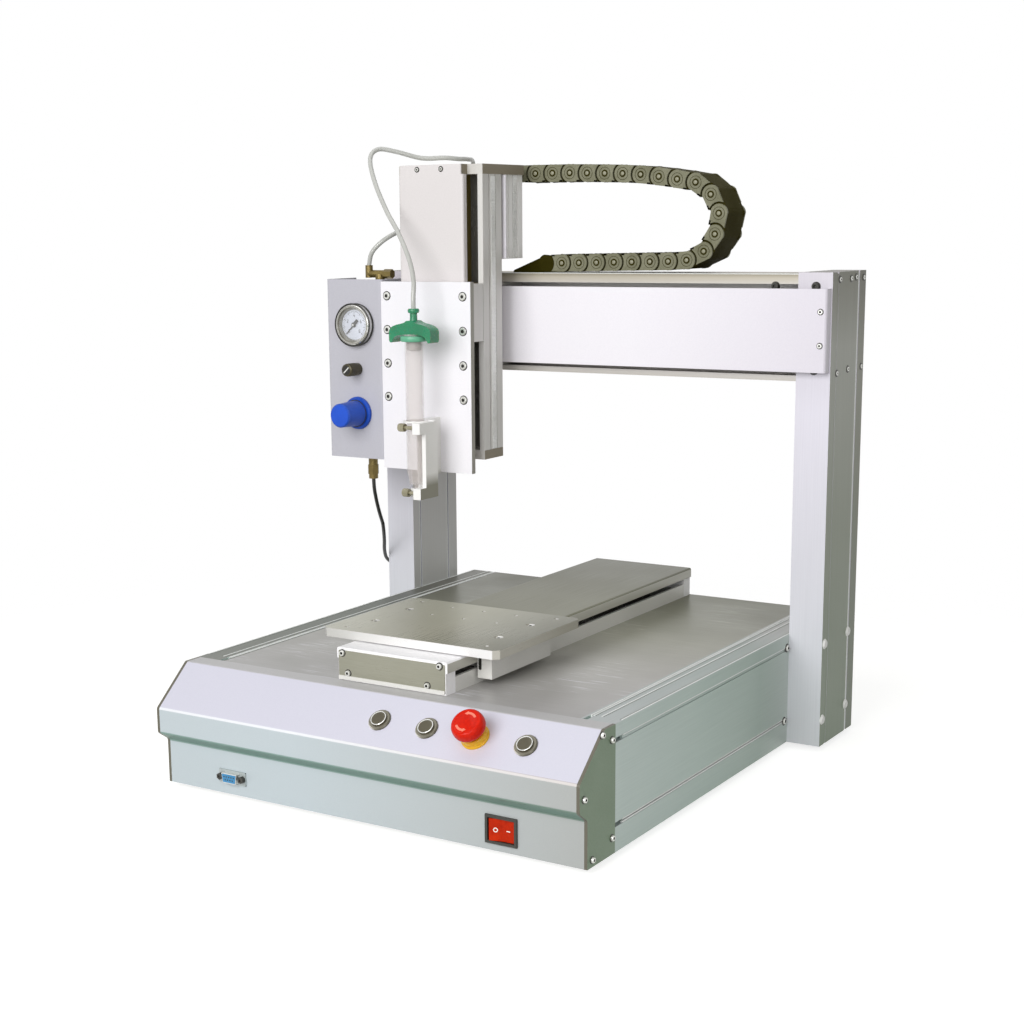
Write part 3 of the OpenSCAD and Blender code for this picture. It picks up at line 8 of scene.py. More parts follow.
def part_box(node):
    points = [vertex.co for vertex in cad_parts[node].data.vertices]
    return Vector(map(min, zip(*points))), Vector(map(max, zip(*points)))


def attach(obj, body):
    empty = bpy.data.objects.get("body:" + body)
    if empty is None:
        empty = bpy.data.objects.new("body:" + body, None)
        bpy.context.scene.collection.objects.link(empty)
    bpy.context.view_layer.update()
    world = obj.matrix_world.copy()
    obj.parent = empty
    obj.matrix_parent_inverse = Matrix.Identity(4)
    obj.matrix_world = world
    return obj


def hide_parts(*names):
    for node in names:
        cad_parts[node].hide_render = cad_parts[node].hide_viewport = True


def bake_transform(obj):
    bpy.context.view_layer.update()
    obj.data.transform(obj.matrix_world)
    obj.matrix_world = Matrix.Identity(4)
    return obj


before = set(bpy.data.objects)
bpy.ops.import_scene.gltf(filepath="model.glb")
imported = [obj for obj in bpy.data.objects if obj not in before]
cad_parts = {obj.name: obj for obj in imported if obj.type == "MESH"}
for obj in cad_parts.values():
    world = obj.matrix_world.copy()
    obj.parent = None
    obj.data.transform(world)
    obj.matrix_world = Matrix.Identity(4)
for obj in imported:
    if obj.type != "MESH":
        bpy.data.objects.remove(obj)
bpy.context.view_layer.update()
MM = 0.001


# Studio: a pale seamless floor, one broad lamp in front of the machine, a weak one at its right and a soft
# one above it. The backdrop is white where it is seen, directly, in metal or through clear plastic.
def linear(code):
    """An sRGB hex colour as the linear colour that a shader takes."""
    parts = [int(code[i:i + 2], 16) / 255 for i in (0, 2, 4)]
    return [c / 12.92 if c <= 0.04045 else ((c + 0.055) / 1.055) ** 2.4 for c in parts] + [1.0]


def add(tree, kind, inputs=(), ramp=(), steps=False, **settings):
    """Adds a node with its settings, and sets or links each named input."""
    made = tree.nodes.new("ShaderNode" + kind)
    for name, value in settings.items():
        setattr(made, name, value)
    for i, (at, code) in enumerate(ramp):
        while len(made.color_ramp.elements) <= i:
            made.color_ramp.elements.new(at)
        made.color_ramp.elements[i].position = at
        made.color_ramp.elements[i].color = linear(code)
    if steps:
        made.color_ramp.interpolation = "CONSTANT"
    for name, value in dict(inputs).items():
        if isinstance(value, bpy.types.NodeSocket):
            tree.links.new(value, made.inputs[name])
        else:
            made.inputs[name].default_value = value
    return made


def seen_directly(tree):
    """1 for what the camera sees, also in a reflection or through clear plastic, otherwise 0."""
    ray = add(tree, "LightPath").outputs
    either = add(tree, "Math", {0: ray["Is Camera Ray"], 1: ray["Is Glossy Ray"]}, operation="MAXIMUM")
    either = add(tree, "Math", {0: either.outputs[0], 1: ray["Is Transmission Ray"]}, operation="MAXIMUM")
    return either.outputs[0]


scene = bpy.context.scene
scene.view_settings.view_transform = "Standard"
scene.world = bpy.data.worlds.new("studio_room")
scene.world.use_nodes = True
room = scene.world.node_tree
room.nodes.clear()
dim = add(room, "Background", {"Color": linear("F4F4F0"), "Strength": 0.33})
white = add(room, "Background", {"Color": linear("FFFFFF"), "Strength": 1.0})
walls = add(room, "MixShader", {0: seen_directly(room), 1: dim.outputs[0], 2: white.outputs[0]})
add(room, "OutputWorld", {"Surface": walls.outputs[0]})

# Matt white paper: it keeps the shadow near the machine and clears into the backdrop further out.
PAPER_GLOW = 0.74
CLEARS_FROM, CLEARS_TO = 450, 950  # mm from the middle of the floor
paper = bpy.data.materials.new("matt_seamless_paper")
paper.use_nodes = True
tree = paper.node_tree
tree.nodes.clear()
lift = add(tree, "Math", {0: seen_directly(tree), 1: PAPER_GLOW}, operation="MULTIPLY")
glow = add(tree, "Emission", {"Color": linear("FFFFFF"), "Strength": lift.outputs[0]})
matt = add(tree, "BsdfDiffuse", {"Color": linear("C4C4C2")})
near = add(tree, "AddShader", {0: glow.outputs[0], 1: matt.outputs[0]})
reach = add(tree, "VectorMath", {0: add(tree, "TexCoord").outputs["Object"]}, operation="LENGTH")
fade = add(tree, "MapRange", {"Value": reach.outputs["Value"], "From Min": CLEARS_FROM * MM,
                              "From Max": CLEARS_TO * MM})
clear = add(tree, "BsdfTransparent")
paper_skin = add(tree, "MixShader", {0: fade.outputs[0], 1: near.outputs[0], 2: clear.outputs[0]})
add(tree, "OutputMaterial", {"Surface": paper_skin.outputs[0]})
bm = bmesh.new()
bmesh.ops.create_grid(bm, x_segments=8, y_segments=8, size=1.0)
mesh = bpy.data.meshes.new("floor")
bm.to_mesh(mesh)
bm.free()
mesh.materials.append(paper)
floor = bpy.data.objects.new("floor", mesh)
scene.collection.objects.link(floor)

# Each lamp is a square that looks at the machine; places and sizes are in metres, power in watts.
LAMP_AIM = Vector((0, 0, 0.42))
for name, place, size, power in (("front_lamp", (-0.05, -2.1, 1.05), 1.4, 36),
                                 ("side_lamp", (1.1, -1.6, 0.9), 1.2, 7),
                                 ("top_lamp", (-0.2, -0.1, 2.4), 1.6, 8)):
    lamp = bpy.data.lights.new(name, "AREA")
    lamp.size = size
    lamp.energy = power
    shining = bpy.data.objects.new(name, lamp)
    shining.location = place
    shining.rotation_euler = (LAMP_AIM - Vector(place)).to_track_quat("-Z", "Y").to_euler()
    scene.collection.objects.link(shining)

# The camera stands in front, to the right of the machine and at the height of its head.
STAND = (0.86408, -1.43934, 0.51831)
TILT, HEADING, ROLL = (math.radians(degrees) for degrees in (90 - 11.273, 33.235, -0.7386))
view = bpy.data.objects.new("camera", bpy.data.cameras.new("camera"))
view.data.sensor_width = 36
view.data.lens = 60.99
view.data.shift_x = 0.0586
view.data.shift_y = 0.0586
view.matrix_world = (Matrix.Translation(STAND) @ Euler((TILT, 0, HEADING)).to_matrix().to_4x4()
                     @ Matrix.Rotation(ROLL, 4, "Z"))
scene.collection.objects.link(view)
scene.camera = view


# Base: two extruded aluminium side profiles carry a brushed top plate in its film, over a folded pan
# on five rubber feet. The extrusions are anodised and show fine draw lines along their length.
NOISE_LOW, NOISE_HIGH = 0.3, 0.7  # most of a noise texture's values lie between these
CLOUD_SHARE = 0.5
ROUGHNESS_SWING = 0.07
GRAIN_DEPTH = 0.3  # mm


def finish(name, colour, shade, roughness, metallic=0.0, grain=1.2, cloud=160, bump=0.08, **sockets):
    """A surface of two close tones. Its grain has the size given in mm, one for all ways or one each along
    x, y and z; wide clouds of tone, cloud mm across, keep a large face from looking flat. The grain of
    coats, plastics and plated steel is finer than a pixel, so it is drawn as coarse as it needs to show."""
    material = bpy.data.materials.new(name)
    material.use_nodes = True
    tree = material.node_tree
    shader = tree.nodes["Principled BSDF"]
    for socket, value in dict(sockets, Metallic=metallic).items():
        shader.inputs[socket.replace("_", " ")].default_value = value
    sizes = grain if isinstance(grain, tuple) else 3 * (grain,)
    place = add(tree, "TexCoord").outputs["Object"]
    stretched = add(tree, "Mapping", {"Vector": place, "Scale": [1 / (size * MM) for size in sizes]})
    grains = add(tree, "TexNoise", {"Vector": stretched.outputs[0], "Scale": 1.0, "Detail": 3.0})
    clouds = add(tree, "TexNoise", {"Vector": place, "Scale": 1 / (cloud * MM), "Detail": 2.0})
    mixed = add(tree, "Mix", {"Factor": CLOUD_SHARE, "A": grains.outputs[0], "B": clouds.outputs[0]})
    tone = add(tree, "ValToRGB", {"Fac": mixed.outputs[0]}, ramp=((NOISE_LOW, shade), (NOISE_HIGH, colour)))
    rough = add(tree, "MapRange", {"Value": mixed.outputs[0], "From Min": NOISE_LOW, "From Max": NOISE_HIGH,
                                   "To Min": roughness + ROUGHNESS_SWING,
                                   "To Max": roughness - ROUGHNESS_SWING})
    raised = add(tree, "Bump", {"Height": grains.outputs[0], "Strength": bump, "Distance": GRAIN_DEPTH * MM})
    tree.links.new(tone.outputs[0], shader.inputs["Base Color"])
    tree.links.new(rough.outputs[0], shader.inputs["Roughness"])
    tree.links.new(raised.outputs[0], shader.inputs["Normal"])
    return material


COLOUR_A, COLOUR_B, COLOUR_OUT = 6, 7, 2  # the colour sockets of a Mix node
FACING_LEAST = 0.7


def tinted(material, source, axis, low, high, ramp, steps=False, facing=None):
    """Multiplies a material's tone by tints that follow one axis, from low to high, of the object's place
    in mm or of its face direction, on every face or only on those that face one way."""
    tree = material.node_tree
    colour = tree.nodes["Principled BSDF"].inputs["Base Color"]
    unit = MM if source == "Object" else 1
    along = add(tree, "SeparateXYZ", {0: add(tree, "TexCoord").outputs[source]}).outputs[axis]
    share = add(tree, "MapRange", {"Value": along, "From Min": low * unit, "From Max": high * unit})
    tints = add(tree, "ValToRGB", {"Fac": share.outputs[0]}, ramp, steps).outputs[0]
    if facing:
        normal = add(tree, "TexCoord").outputs["Normal"]
        toward = add(tree, "VectorMath", {0: normal, 1: facing}, operation="DOT_PRODUCT")
        only = add(tree, "Math", {0: toward.outputs["Value"], 1: FACING_LEAST}, operation="GREATER_THAN")
        masked = add(tree, "Mix", {0: only.outputs[0], COLOUR_A: linear("FFFFFF"), COLOUR_B: tints},
                     data_type="RGBA")
        tints = masked.outputs[COLOUR_OUT]
    both = add(tree, "VectorMath", {0: colour.links[0].from_socket, 1: tints}, operation="MULTIPLY")
    tree.links.new(both.outputs[0], colour)


def dress(material, *names):
    """Gives CAD nodes a material."""
    for name in names:
        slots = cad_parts[name].data.materials
        slots.clear()
        slots.append(material)


# Draw lines about 0.8 mm apart run along y, which gives the sides a soft streak. Their cool green tone is
# a painted green reflection that deepens, with painted shade, towards the middle of the run; the top faces
# get a painted shade, deeper on the left.
for side, top_shade in (("left", "8E8781"), ("right", "E3DADF")):
    drawn_aluminium = finish("anodised_extrusion_" + side, "D3DEDA", "C6D2CE", 0.42, 0.1,
                             grain=(0.8, 60, 0.8), cloud=220)
    tinted(drawn_aluminium, "Object", "Y", -220, 270,
           ((0.0, "F6FBFA"), (0.35, "E2ECE7"), (0.6, "D3DDD6"), (0.78, "FBF8F6")))
    tinted(drawn_aluminium, "Normal", "Z", 0, 1, ((0.6, "FFFFFF"), (0.9, top_shade)))
    dress(drawn_aluminium, "base_side_" + side)

# A brushed plate under a clear protective film. Where the film's creases, 20 to 60 mm long, catch the light
# in patches, painted highlights show. Painted shade turns the plate olive towards the back and darkens its
# left end, and a painted reflection brightens it right of the middle.
CREASE_LONG, CREASE_WIDE, CREASE_SLANT = 52, 3.4, 0.6  # mm, mm and radians
CREASED_PATCH = 75  # mm across
filmed_plate = finish("brushed_plate_in_film", "C6C5C2", "B7B6B2", 0.33, 0.15, grain=(60, 0.7, 0.7), cloud=70,
                      bump=0.1)
tree = filmed_plate.node_tree
shader = tree.nodes["Principled BSDF"]
place = add(tree, "TexCoord").outputs["Object"]
slanted = add(tree, "Mapping", {"Vector": place, "Rotation": (0, 0, CREASE_SLANT),
                                "Scale": (1 / (CREASE_LONG * MM), 1 / (CREASE_WIDE * MM), 1)})
creases = add(tree, "TexNoise", {"Vector": slanted.outputs[0], "Scale": 1.0, "Detail": 4.0,
                                 "Distortion": 1.2})
creases = add(tree, "MapRange", {"Value": creases.outputs[0], "From Min": 0.55, "From Max": 0.68})
patches = add(tree, "TexNoise", {"Vector": place, "Scale": 1 / (CREASED_PATCH * MM), "Detail": 1.0})
patches = add(tree, "MapRange", {"Value": patches.outputs[0], "From Min": 0.46, "From Max": 0.58})
film = add(tree, "Math", {0: creases.outputs[0], 1: patches.outputs[0]}, operation="MULTIPLY")
plain = shader.inputs["Base Color"].links[0].from_socket
crease_highlights = add(tree, "Mix", {0: film.outputs[0], COLOUR_A: plain, COLOUR_B: linear("ECECF2")},
              data_type="RGBA")
tree.links.new(crease_highlights.outputs[COLOUR_OUT], shader.inputs["Base Color"])
dress(filmed_plate, "base_top_plate")
tinted(filmed_plate, "Object", "X", -200, 200, ((0.2, "E0E0DE"), (0.75, "FFFFFF"), (1.0, "EDECEC")))
tinted(filmed_plate, "Object", "Y", -240, 260,
       ((0.0, "EDECF0"), (0.3, "EFEEEC"), (0.6, "CFD0BF"), (1.0, "7A7B5A")))

# Zinc-plated sheet is dull, with a faint spangle of crystals about 9 mm across.
galvanised = finish("zinc_plated_sheet", "B4B6B2", "A0A39F", 0.45, 0.3, grain=9, cloud=90)
dress(galvanised, "base_pan")
# Moulded rubber is almost black and quite matt, with a fine pebble.
moulded_rubber = finish("moulded_rubber", "2A2A29", "1E1E1D", 0.75, grain=0.8, bump=0.2)
dress(moulded_rubber, "rubber_feet")
# Lacquer gives the circuit board a deep, half-glossy green with the weave of its glass cloth under it.
board_lacquer = finish("lacquered_circuit_board", "2C5A3A", "1F4A2E", 0.4, grain=3)
dress(board_lacquer, "electronics")


def new_piece(name, bm, materials, body, sharp=32):
    """Makes a finished object of a mesh with its materials, and says what it rides on."""
    mesh = bpy.data.meshes.new(name)
    bmesh.ops.recalc_face_normals(bm, faces=bm.faces)
    bm.to_mesh(mesh)
    bm.free()
    for material in materials:
        mesh.materials.append(material)
    mesh.shade_smooth()
    mesh.set_sharp_from_angle(angle=math.radians(sharp))
    made = bpy.data.objects.new(name, mesh)
    scene.collection.objects.link(made)
    if body:
        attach(made, body)
    return made


RIGHT, FRONT, BACK, UP = (1, 0, 0), (0, -1, 0), (0, 1, 0), (0, 0, 1)


def laid(point, along, across):
    """A place at a point in mm, its own z along one way and its own x across it."""
    z = Vector(along).normalized()
    x = Vector(across).normalized()
    turn = Matrix((x, z.cross(x), z)).transposed()
    return Matrix.Translation(Vector(point) * MM) @ turn.to_4x4()


def rounded(w, h, r, corner=4):
    """The outline of a rounded rectangle about the middle, in mm."""
    line = []
    for k, (sx, sy) in enumerate(((1, 1), (-1, 1), (-1, -1), (1, -1))):
        for i in range(corner + 1):
            a = math.radians(90 * (k + i / corner))
            line.append((sx * (w / 2 - r) + r * math.cos(a), sy * (h / 2 - r) + r * math.sin(a)))
    return line


def drawn(bm, outline, place, length, paint=0):
    """Adds a form drawn along its own z from an outline in mm; paint is the number of its material."""
    near = [bm.verts.new(place @ (Vector((u, v, 0)) * MM)) for u, v in outline]
    far = [bm.verts.new(place @ (Vector((u, v, length)) * MM)) for u, v in outline]
    made = [bm.faces.new(near[::-1]), bm.faces.new(far)]
    made += [bm.faces.new((near[k - 1], near[k], far[k], far[k - 1])) for k in range(len(outline))]
    for face in made:
        face.material_index = paint


# Thin strips edge the grooves of the side profiles: the bright ones are painted highlights where a groove's
# edge catches the light, the grey-green ones painted shade in the groove. The bright strip material also
# serves the columns' slot strips.
bright_lip = finish("bright_strip_anodising", "F4F6F4", "E9ECEA", 0.3, 0.1, grain=(0.5, 40, 0.5), cloud=60,
                    bump=0.03)
shaded_lip = finish("shaded_anodising", "8E938D", "7C817B", 0.5, grain=(0.5, 40, 0.5), cloud=60, bump=0.03)
LIP_START, LIP_RUN = -209, 478
FLANK_LIP_X, FLANK_LIPS_Z = 223.6, (28.7, 31.3, 104.5)
FILL_X, FILL_Z = 222.9, 102.2
TOP_LIP_Z = 116.1
BRIGHT, FILL, SHADED = 0, 1, 2
TOP_LIPS = ((195.2, BRIGHT), (197.8, BRIGHT), (199.4, SHADED), (205.0, BRIGHT), (206.6, SHADED),
            (222.2, SHADED), (223.6, BRIGHT))
for side, s in (("left", -1), ("right", 1)):
    bm = bmesh.new()
    for z in FLANK_LIPS_Z:
        drawn(bm, rounded(2.4, 1.4, 0.4), laid((s * FLANK_LIP_X, LIP_START, z), BACK, RIGHT), LIP_RUN)
    drawn(bm, rounded(2.4, 3.6, 0.3), laid((s * FILL_X, LIP_START, FILL_Z), BACK, RIGHT), LIP_RUN, FILL)
    for x, paint in TOP_LIPS:
        width = 0.8 if paint == SHADED else 1.4
        drawn(bm, rounded(width, 2.4, 0.4), laid((s * x, LIP_START, TOP_LIP_Z), BACK, RIGHT), LIP_RUN, paint)
    new_piece("side_slot_lips_" + side, bm, [bright_lip, drawn_aluminium, shaded_lip], "frame")


# Screws: plated steel cap screws and button screws, turned, with a hexagon socket pressed in.
# They are set on the faces they hold, each group as one mesh, over black washers; washers and sockets are
# black oxide, a painted shade round and in each head.
def turned(bm, profile, place, sides=32, hexed=(), paint=0):
    """Adds a turned form from (radius, height) pairs in mm; rings listed in hexed are hexagons."""
    rings = []
    for i, (r, h) in enumerate(profile):
        if r == 0:
            rings.append([bm.verts.new(place @ Vector((0, 0, h * MM)))])
            continue
        ring = []
        for k in range(sides):
            a = math.tau * k / sides
            reach = r / math.cos(a % (math.pi / 3) - math.pi / 6) if i in hexed else r
            ring.append(bm.verts.new(place @ (Vector((reach * math.cos(a), reach * math.sin(a), h)) * MM)))
        rings.append(ring)
    for a, b in zip(rings, rings[1:]):
        for k in range(sides):
            quad = [a[k % len(a)], a[(k + 1) % len(a)], b[(k + 1) % len(b)], b[k % len(b)]]
            corners = list(dict.fromkeys(quad))
            if len(corners) > 2:
                bm.faces.new(corners).material_index = paint


# Zinc plate is bright and a little uneven; black oxide leaves steel almost black, with a weak oily gloss.
plated_steel = finish("zinc_plated_screw_steel", "E4E4E0", "CFCFC8", 0.25, 0.6, grain=0.5, cloud=12)
black_oxide = finish("black_oxide_steel", "33322E", "24231F", 0.4, 0.4, grain=0.5, cloud=12)
SEAT = -0.3  # mm, how deep a head and its washer are let in
SOCKET = 0.45  # a socket's radius as a share of the head's


def screws(name, points, way, r, h, body, shade_washer=0.9, head=plated_steel):
    """A group of socket screws with heads of radius r and height h in mm, on black washers wider than the
    heads by the given amount; the black of washers and sockets is painted shade.
    """
    bm = bmesh.new()
    across = RIGHT if way[2] else UP
    for point in points:
        place = laid(point, way, across)
        turned(bm, [(0, SEAT), (r, SEAT), (r, h * 0.6), (r * 0.85, h), (r * SOCKET, h)], place, 24,
               hexed=(4,))
        turned(bm, [(r * SOCKET, h), (r * SOCKET, h * 0.3), (0, h * 0.3)], place, 24, hexed=(0, 1), paint=1)
        if shade_washer:
            turned(bm, [(0, SEAT), (r + shade_washer, SEAT), (r + shade_washer, 0.25), (0, 0.3)], place, 24, paint=1)
    new_piece(name, bm, [head, black_oxide], body)


# Front console: one folded sheet of steel with a sloping control panel, powder coated off-white.
# Two painted plates are screwed to its ends; a painted green reflection tints them.
# The coat has a fine peel. Tints by face direction paint light and shade on it: the upright faces are
# cooler and darker, the fold under the nose has a painted green reflection and shade, the bend below the
# slope a painted highlight and the flat top a painted shade; its front goes darker and warmer to the right.
console_white = finish("off_white_console_coat", "E6E8EC", "E0E2E7", 0.42, grain=1.4, cloud=240, bump=0.05)
tinted(console_white, "Normal", "Z", -1, 1,
       ((0.12, "749A88"), (0.36, "98B5AB"), (0.46, "D4DDDE"), (0.53, "D4DDDE"), (0.6, "FFFFFF"),
        (0.8, "FFFFFF"), (0.86, "E4E1EB"), (0.9, "E4E1EB"), (0.98, "CECBC8")))
tinted(console_white, "Object", "X", -222, 222, ((0.35, "FFFFFF"), (1.0, "E4DCD5")), facing=FRONT)
dress(console_white, "front_panel")
# Satin paint, near white, is even and soft on both faces of a plate; a tint by face direction paints a
# green reflection on the faces and a brown-grey painted shadow on the edge between them.
grey_green = finish("satin_paint_green_reflection", "F2F4F0", "E4E7E2", 0.38, 0.1, cloud=60)
tinted(grey_green, "Normal", "X", -1, 1, ((0.0, "7B9176"), (0.2, "6B665A"), (0.8, "7B9176")), steps=True)
dress(grey_green, "end_plate_left", "end_plate_right")
END_PLATE_SCREWS = [(-229, 105), (-228, 20.5), (-276, 67.4), (-262, 12.4)]
SIDE_BOLTS = [(140, 104), (137, 29.5)]
BASE_OUT = 225
for side, x, top in (("left", -BASE_OUT, 104), ("right", BASE_OUT, 113.3)):
    screws("end_plate_screws_" + side, [(x, y, z) for y, z in END_PLATE_SCREWS + [(-246, top)]], (x, 0, 0),
           2.6, 2.2, "frame", 0.8)
    screws("base_side_bolts_" + side, [(x, y, z) for y, z in SIDE_BOLTS], (x, 0, 0), 3.2, 1.8, "frame", 1.2)


# Push buttons: turned metal caps in bright rings, for 16 mm holes, each held by a nut from behind.
# A raised lip and a dished middle are turned into each cap.
# Nickel plate is a bright mirror, softened a little by its polishing.
nickel = finish("bright_nickel_plate", "EDEDEA", "DEDEDA", 0.16, 0.7, grain=0.6, cloud=20, bump=0.03)
# A polished ring; a tint paints a dark reflection and shade on its right side, and its left side stays
# bright.
shaded_ring = finish("polished_ring_steel", "E4E2DA", "D2D0C6", 0.2, 0.4, grain=0.6, cloud=20, bump=0.03)
tinted(shaded_ring, "Normal", "X", -1, 1, ((0.3, "FFFFFF"), (0.5, "97948A"), (0.7, "6E6B60")))
dress(shaded_ring, "button_rings")
# Satin bronze is dark and warm, and the lathe's fine marks keep it from shining.
bronze_cap = finish("satin_bronze_cap", "5A5544", "4C4738", 0.35, 0.3, grain=(0.5, 6, 0.5), cloud=15)
dress(bronze_cap, "button_left", "button_middle", "button_right")
PANEL_OUT = Vector((0, -0.650791, 0.759257))  # the way out of the sloping panel
PANEL_MID = Vector((0, -262, 99))
for name, x in (("left", 16), ("middle", 65), ("right", 163)):
    foot = PANEL_MID + Vector((x, 0, 0))
    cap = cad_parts["button_" + name].data.vertices
    top = max((v.co - foot * MM).dot(PANEL_OUT) for v in cap) / MM
    place = laid(foot + PANEL_OUT * top, PANEL_OUT, RIGHT)
    bm = bmesh.new()
    turned(bm, [(7.3, -0.3), (7.3, 0.1), (7.0, 0.35), (6.6, 0.35), (6.4, 0.1), (6.2, -0.3)], place, 36)
    turned(bm, [(6.2, 0.0), (5.8, 0.12), (3.0, 0.05), (0, 0.02)], place, 36, paint=1)
    new_piece("button_lip_" + name, bm, [nickel, bronze_cap], "button_" + name)


# Emergency stop: a red mushroom head, pushed to stop and twisted to release, on a black stem. It stands in
# an amber collar that is held on the panel by a nut from behind. All three are moulded.
# Glossy red plastic has a full, even colour and one small highlight; the release arrows on it are paler,
# and set where the head shines, so they are partly painted highlights.
red_gloss = finish("glossy_red_moulding", "DC1F00", "B81200", 0.08, grain=2, cloud=30, bump=0.02,
                   Specular_IOR_Level=0.12)
pale_red = finish("pale_red_arrow_print_and_highlight", "F0907A", "E67A64", 0.3, grain=1, cloud=12, Specular_IOR_Level=0.2)
# Amber plastic lets light in a little way, so that it glows.
amber = finish("amber_moulding", "FFBE30", "F7A11A", 0.2, grain=2, cloud=30, bump=0.02,
               Specular_IOR_Level=0.25, Subsurface_Weight=0.3)
ESTOP_X = 114
ARROW_FOOT, ARROW_HEIGHT = 22.2, 0.75
place = laid(PANEL_MID + Vector((ESTOP_X, 0, 0)), PANEL_OUT, RIGHT)
bm = bmesh.new()
turned(bm, [(6.6, 12.5), (6.6, 10.6), (11.0, 10.5), (13.6, 11.8), (14.8, 14.2), (15.0, 16.4), (14.6, 19.4),
            (13.6, 21.6), (12.4, 22.6), (11.6, 22.7), (10.8, 22.2), (9.6, 22.4), (5, 23.2), (0, 23.4)],
       place, 48)
# Two raised release arrows in pale red, partly painted highlights.
for tail in (40, 215):
    sweep = range(tail, tail + 61, 10)
    tip = [(10.4, sweep[-1]), (8.4, sweep[-1] + 20), (6.6, sweep[-1])]
    arrow = [(9.5, a) for a in sweep] + tip + [(7.5, a) for a in sweep[::-1]]
    drawn(bm, [(r * math.cos(math.radians(a)), r * math.sin(math.radians(a))) for r, a in arrow],
          place @ Matrix.Translation((0, 0, ARROW_FOOT * MM)), ARROW_HEIGHT, paint=1)
stop = new_piece("estop_mushroom", bm, [red_gloss, pale_red], "estop_head", sharp=50)
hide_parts("estop_head")
bm = bmesh.new()
turned(bm, [(6.6, 0.1), (6.6, 7.2), (10.6, 7.2), (11.4, 6.4), (11.8, 2.2), (12.8, 1.2), (12.8, 0.1),
            (6.6, 0.1)], place, 48)
collar = new_piece("estop_amber_collar", bm, [amber], "frame")
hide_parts("estop_collar")
# Matt black plastic has the fine sparkle of an eroded mould; frames, sockets, motors and belt share it.
black_moulding = finish("matt_black_moulding", "35342E", "282721", 0.5, grain=0.9, cloud=40, bump=0.12)
dress(black_moulding, "estop_stem", "rocker_frame", "panel_sockets", "axis_motors", "z_belt",
      "z_motor_pulley")


# Power switch: a red rocker in a black snap-in frame, with its O and bar printed in white.
# The translucent rocker is moulded in one piece with its pivot pins.
# Tinted plastic is deeper in patches where it is thick, and hardly shines.
lit_red = finish("translucent_red_moulding", "CC2E04", "A61F02", 0.3, grain=3, cloud=14, bump=0.02,
                 Specular_IOR_Level=0.12)
dress(lit_red, "rocker")
# Pad print is a thin, chalky film.
white_print = finish("white_pad_print", "F6F4EE", "ECEAE4", 0.5, grain=0.5, cloud=20)
ROCKER_X = 144
FACE_LEAST = 20  # mm2, more than any face of the rocker's edge
PRINT = 0.12  # mm
faces = [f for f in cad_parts["rocker"].data.polygons
         if f.normal.y < -0.9 and f.area > FACE_LEAST * MM ** 2]
bm = bmesh.new()
for s in (-1, 1):
    half = [f for f in faces if (f.center.x - ROCKER_X * MM) * s > 0]
    middle = sum((f.center * f.area for f in half), Vector()) / sum(f.area for f in half) / MM
    place = laid(middle + half[0].normal * 0.05, half[0].normal, UP)
    if s < 0:
        turned(bm, [(1.3, 0), (1.3, PRINT), (2.1, PRINT), (2.1, 0)], place, 28)
    else:
        drawn(bm, rounded(0.9, 3.6, 0.3), place, PRINT)
new_piece("rocker_marks", bm, [white_print], "rocker")


# Serial port: a nickel-plated shell with a blue insert of nine contacts, between two hexagon posts.
# Its flange is pressed from tinned sheet and screwed to the front from outside.
# The insert is a half-matt blue plastic, and tin is a dull, bluish metal.
blue_insert = finish("blue_port_insert", "3F8DBE", "367DAB", 0.4, grain=0.6, cloud=20)
dull_tin = finish("dull_tin_flange", "B4BCBC", "A6AEAE", 0.4, 0.2, grain=0.6, cloud=20)
PORT = Vector((-146, -270, 23))
SHELL = [(8.9, 4.5), (-8.9, 4.5), (-7.5, -4.5), (7.5, -4.5)]
POST_REACH = 12.5
INSERT_OUT, CONTACT_OUT = 6.1, 6.6
CONTACT_PITCH, CONTACT_ROW = 2.77, 1.4
NICKEL, BLUE, BLACK, TIN = range(4)
bm = bmesh.new()
flat = laid(PORT, FRONT, RIGHT)
drawn(bm, rounded(31.4, 12.9, 1.5), flat, 1.5, TIN)
drawn(bm, SHELL, flat, 6.3, NICKEL)
for x in (-POST_REACH, POST_REACH):
    post = laid(PORT + Vector((x, 0, 0)), FRONT, UP)
    turned(bm, [(0, 1.5), (2.9, 1.5), (2.9, 5.4), (2.2, 5.8), (1.2, 5.8)], post, 24, hexed=(1, 2),
           paint=BLACK)
    turned(bm, [(1.2, 5.8), (1.2, 4.0), (0, 4.0)], post, 24, paint=BLACK)
drawn(bm, [(x * 0.93, z * 0.86) for x, z in SHELL],
      laid(PORT - Vector((0, INSERT_OUT, 0)), FRONT, RIGHT), 0.5, BLUE)
for i, z in [(i, CONTACT_ROW) for i in range(5)] + [(i + 0.5, -CONTACT_ROW) for i in range(4)]:
    contact = laid(PORT + Vector(((i - 2) * CONTACT_PITCH, -CONTACT_OUT, z)), FRONT, RIGHT)
    turned(bm, [(0.7, -0.1), (0.7, 0.08), (0, 0.08)], contact, 12, paint=BLACK)
new_piece("serial_port_shell", bm, [nickel, blue_insert, black_moulding, dull_tin], "frame")


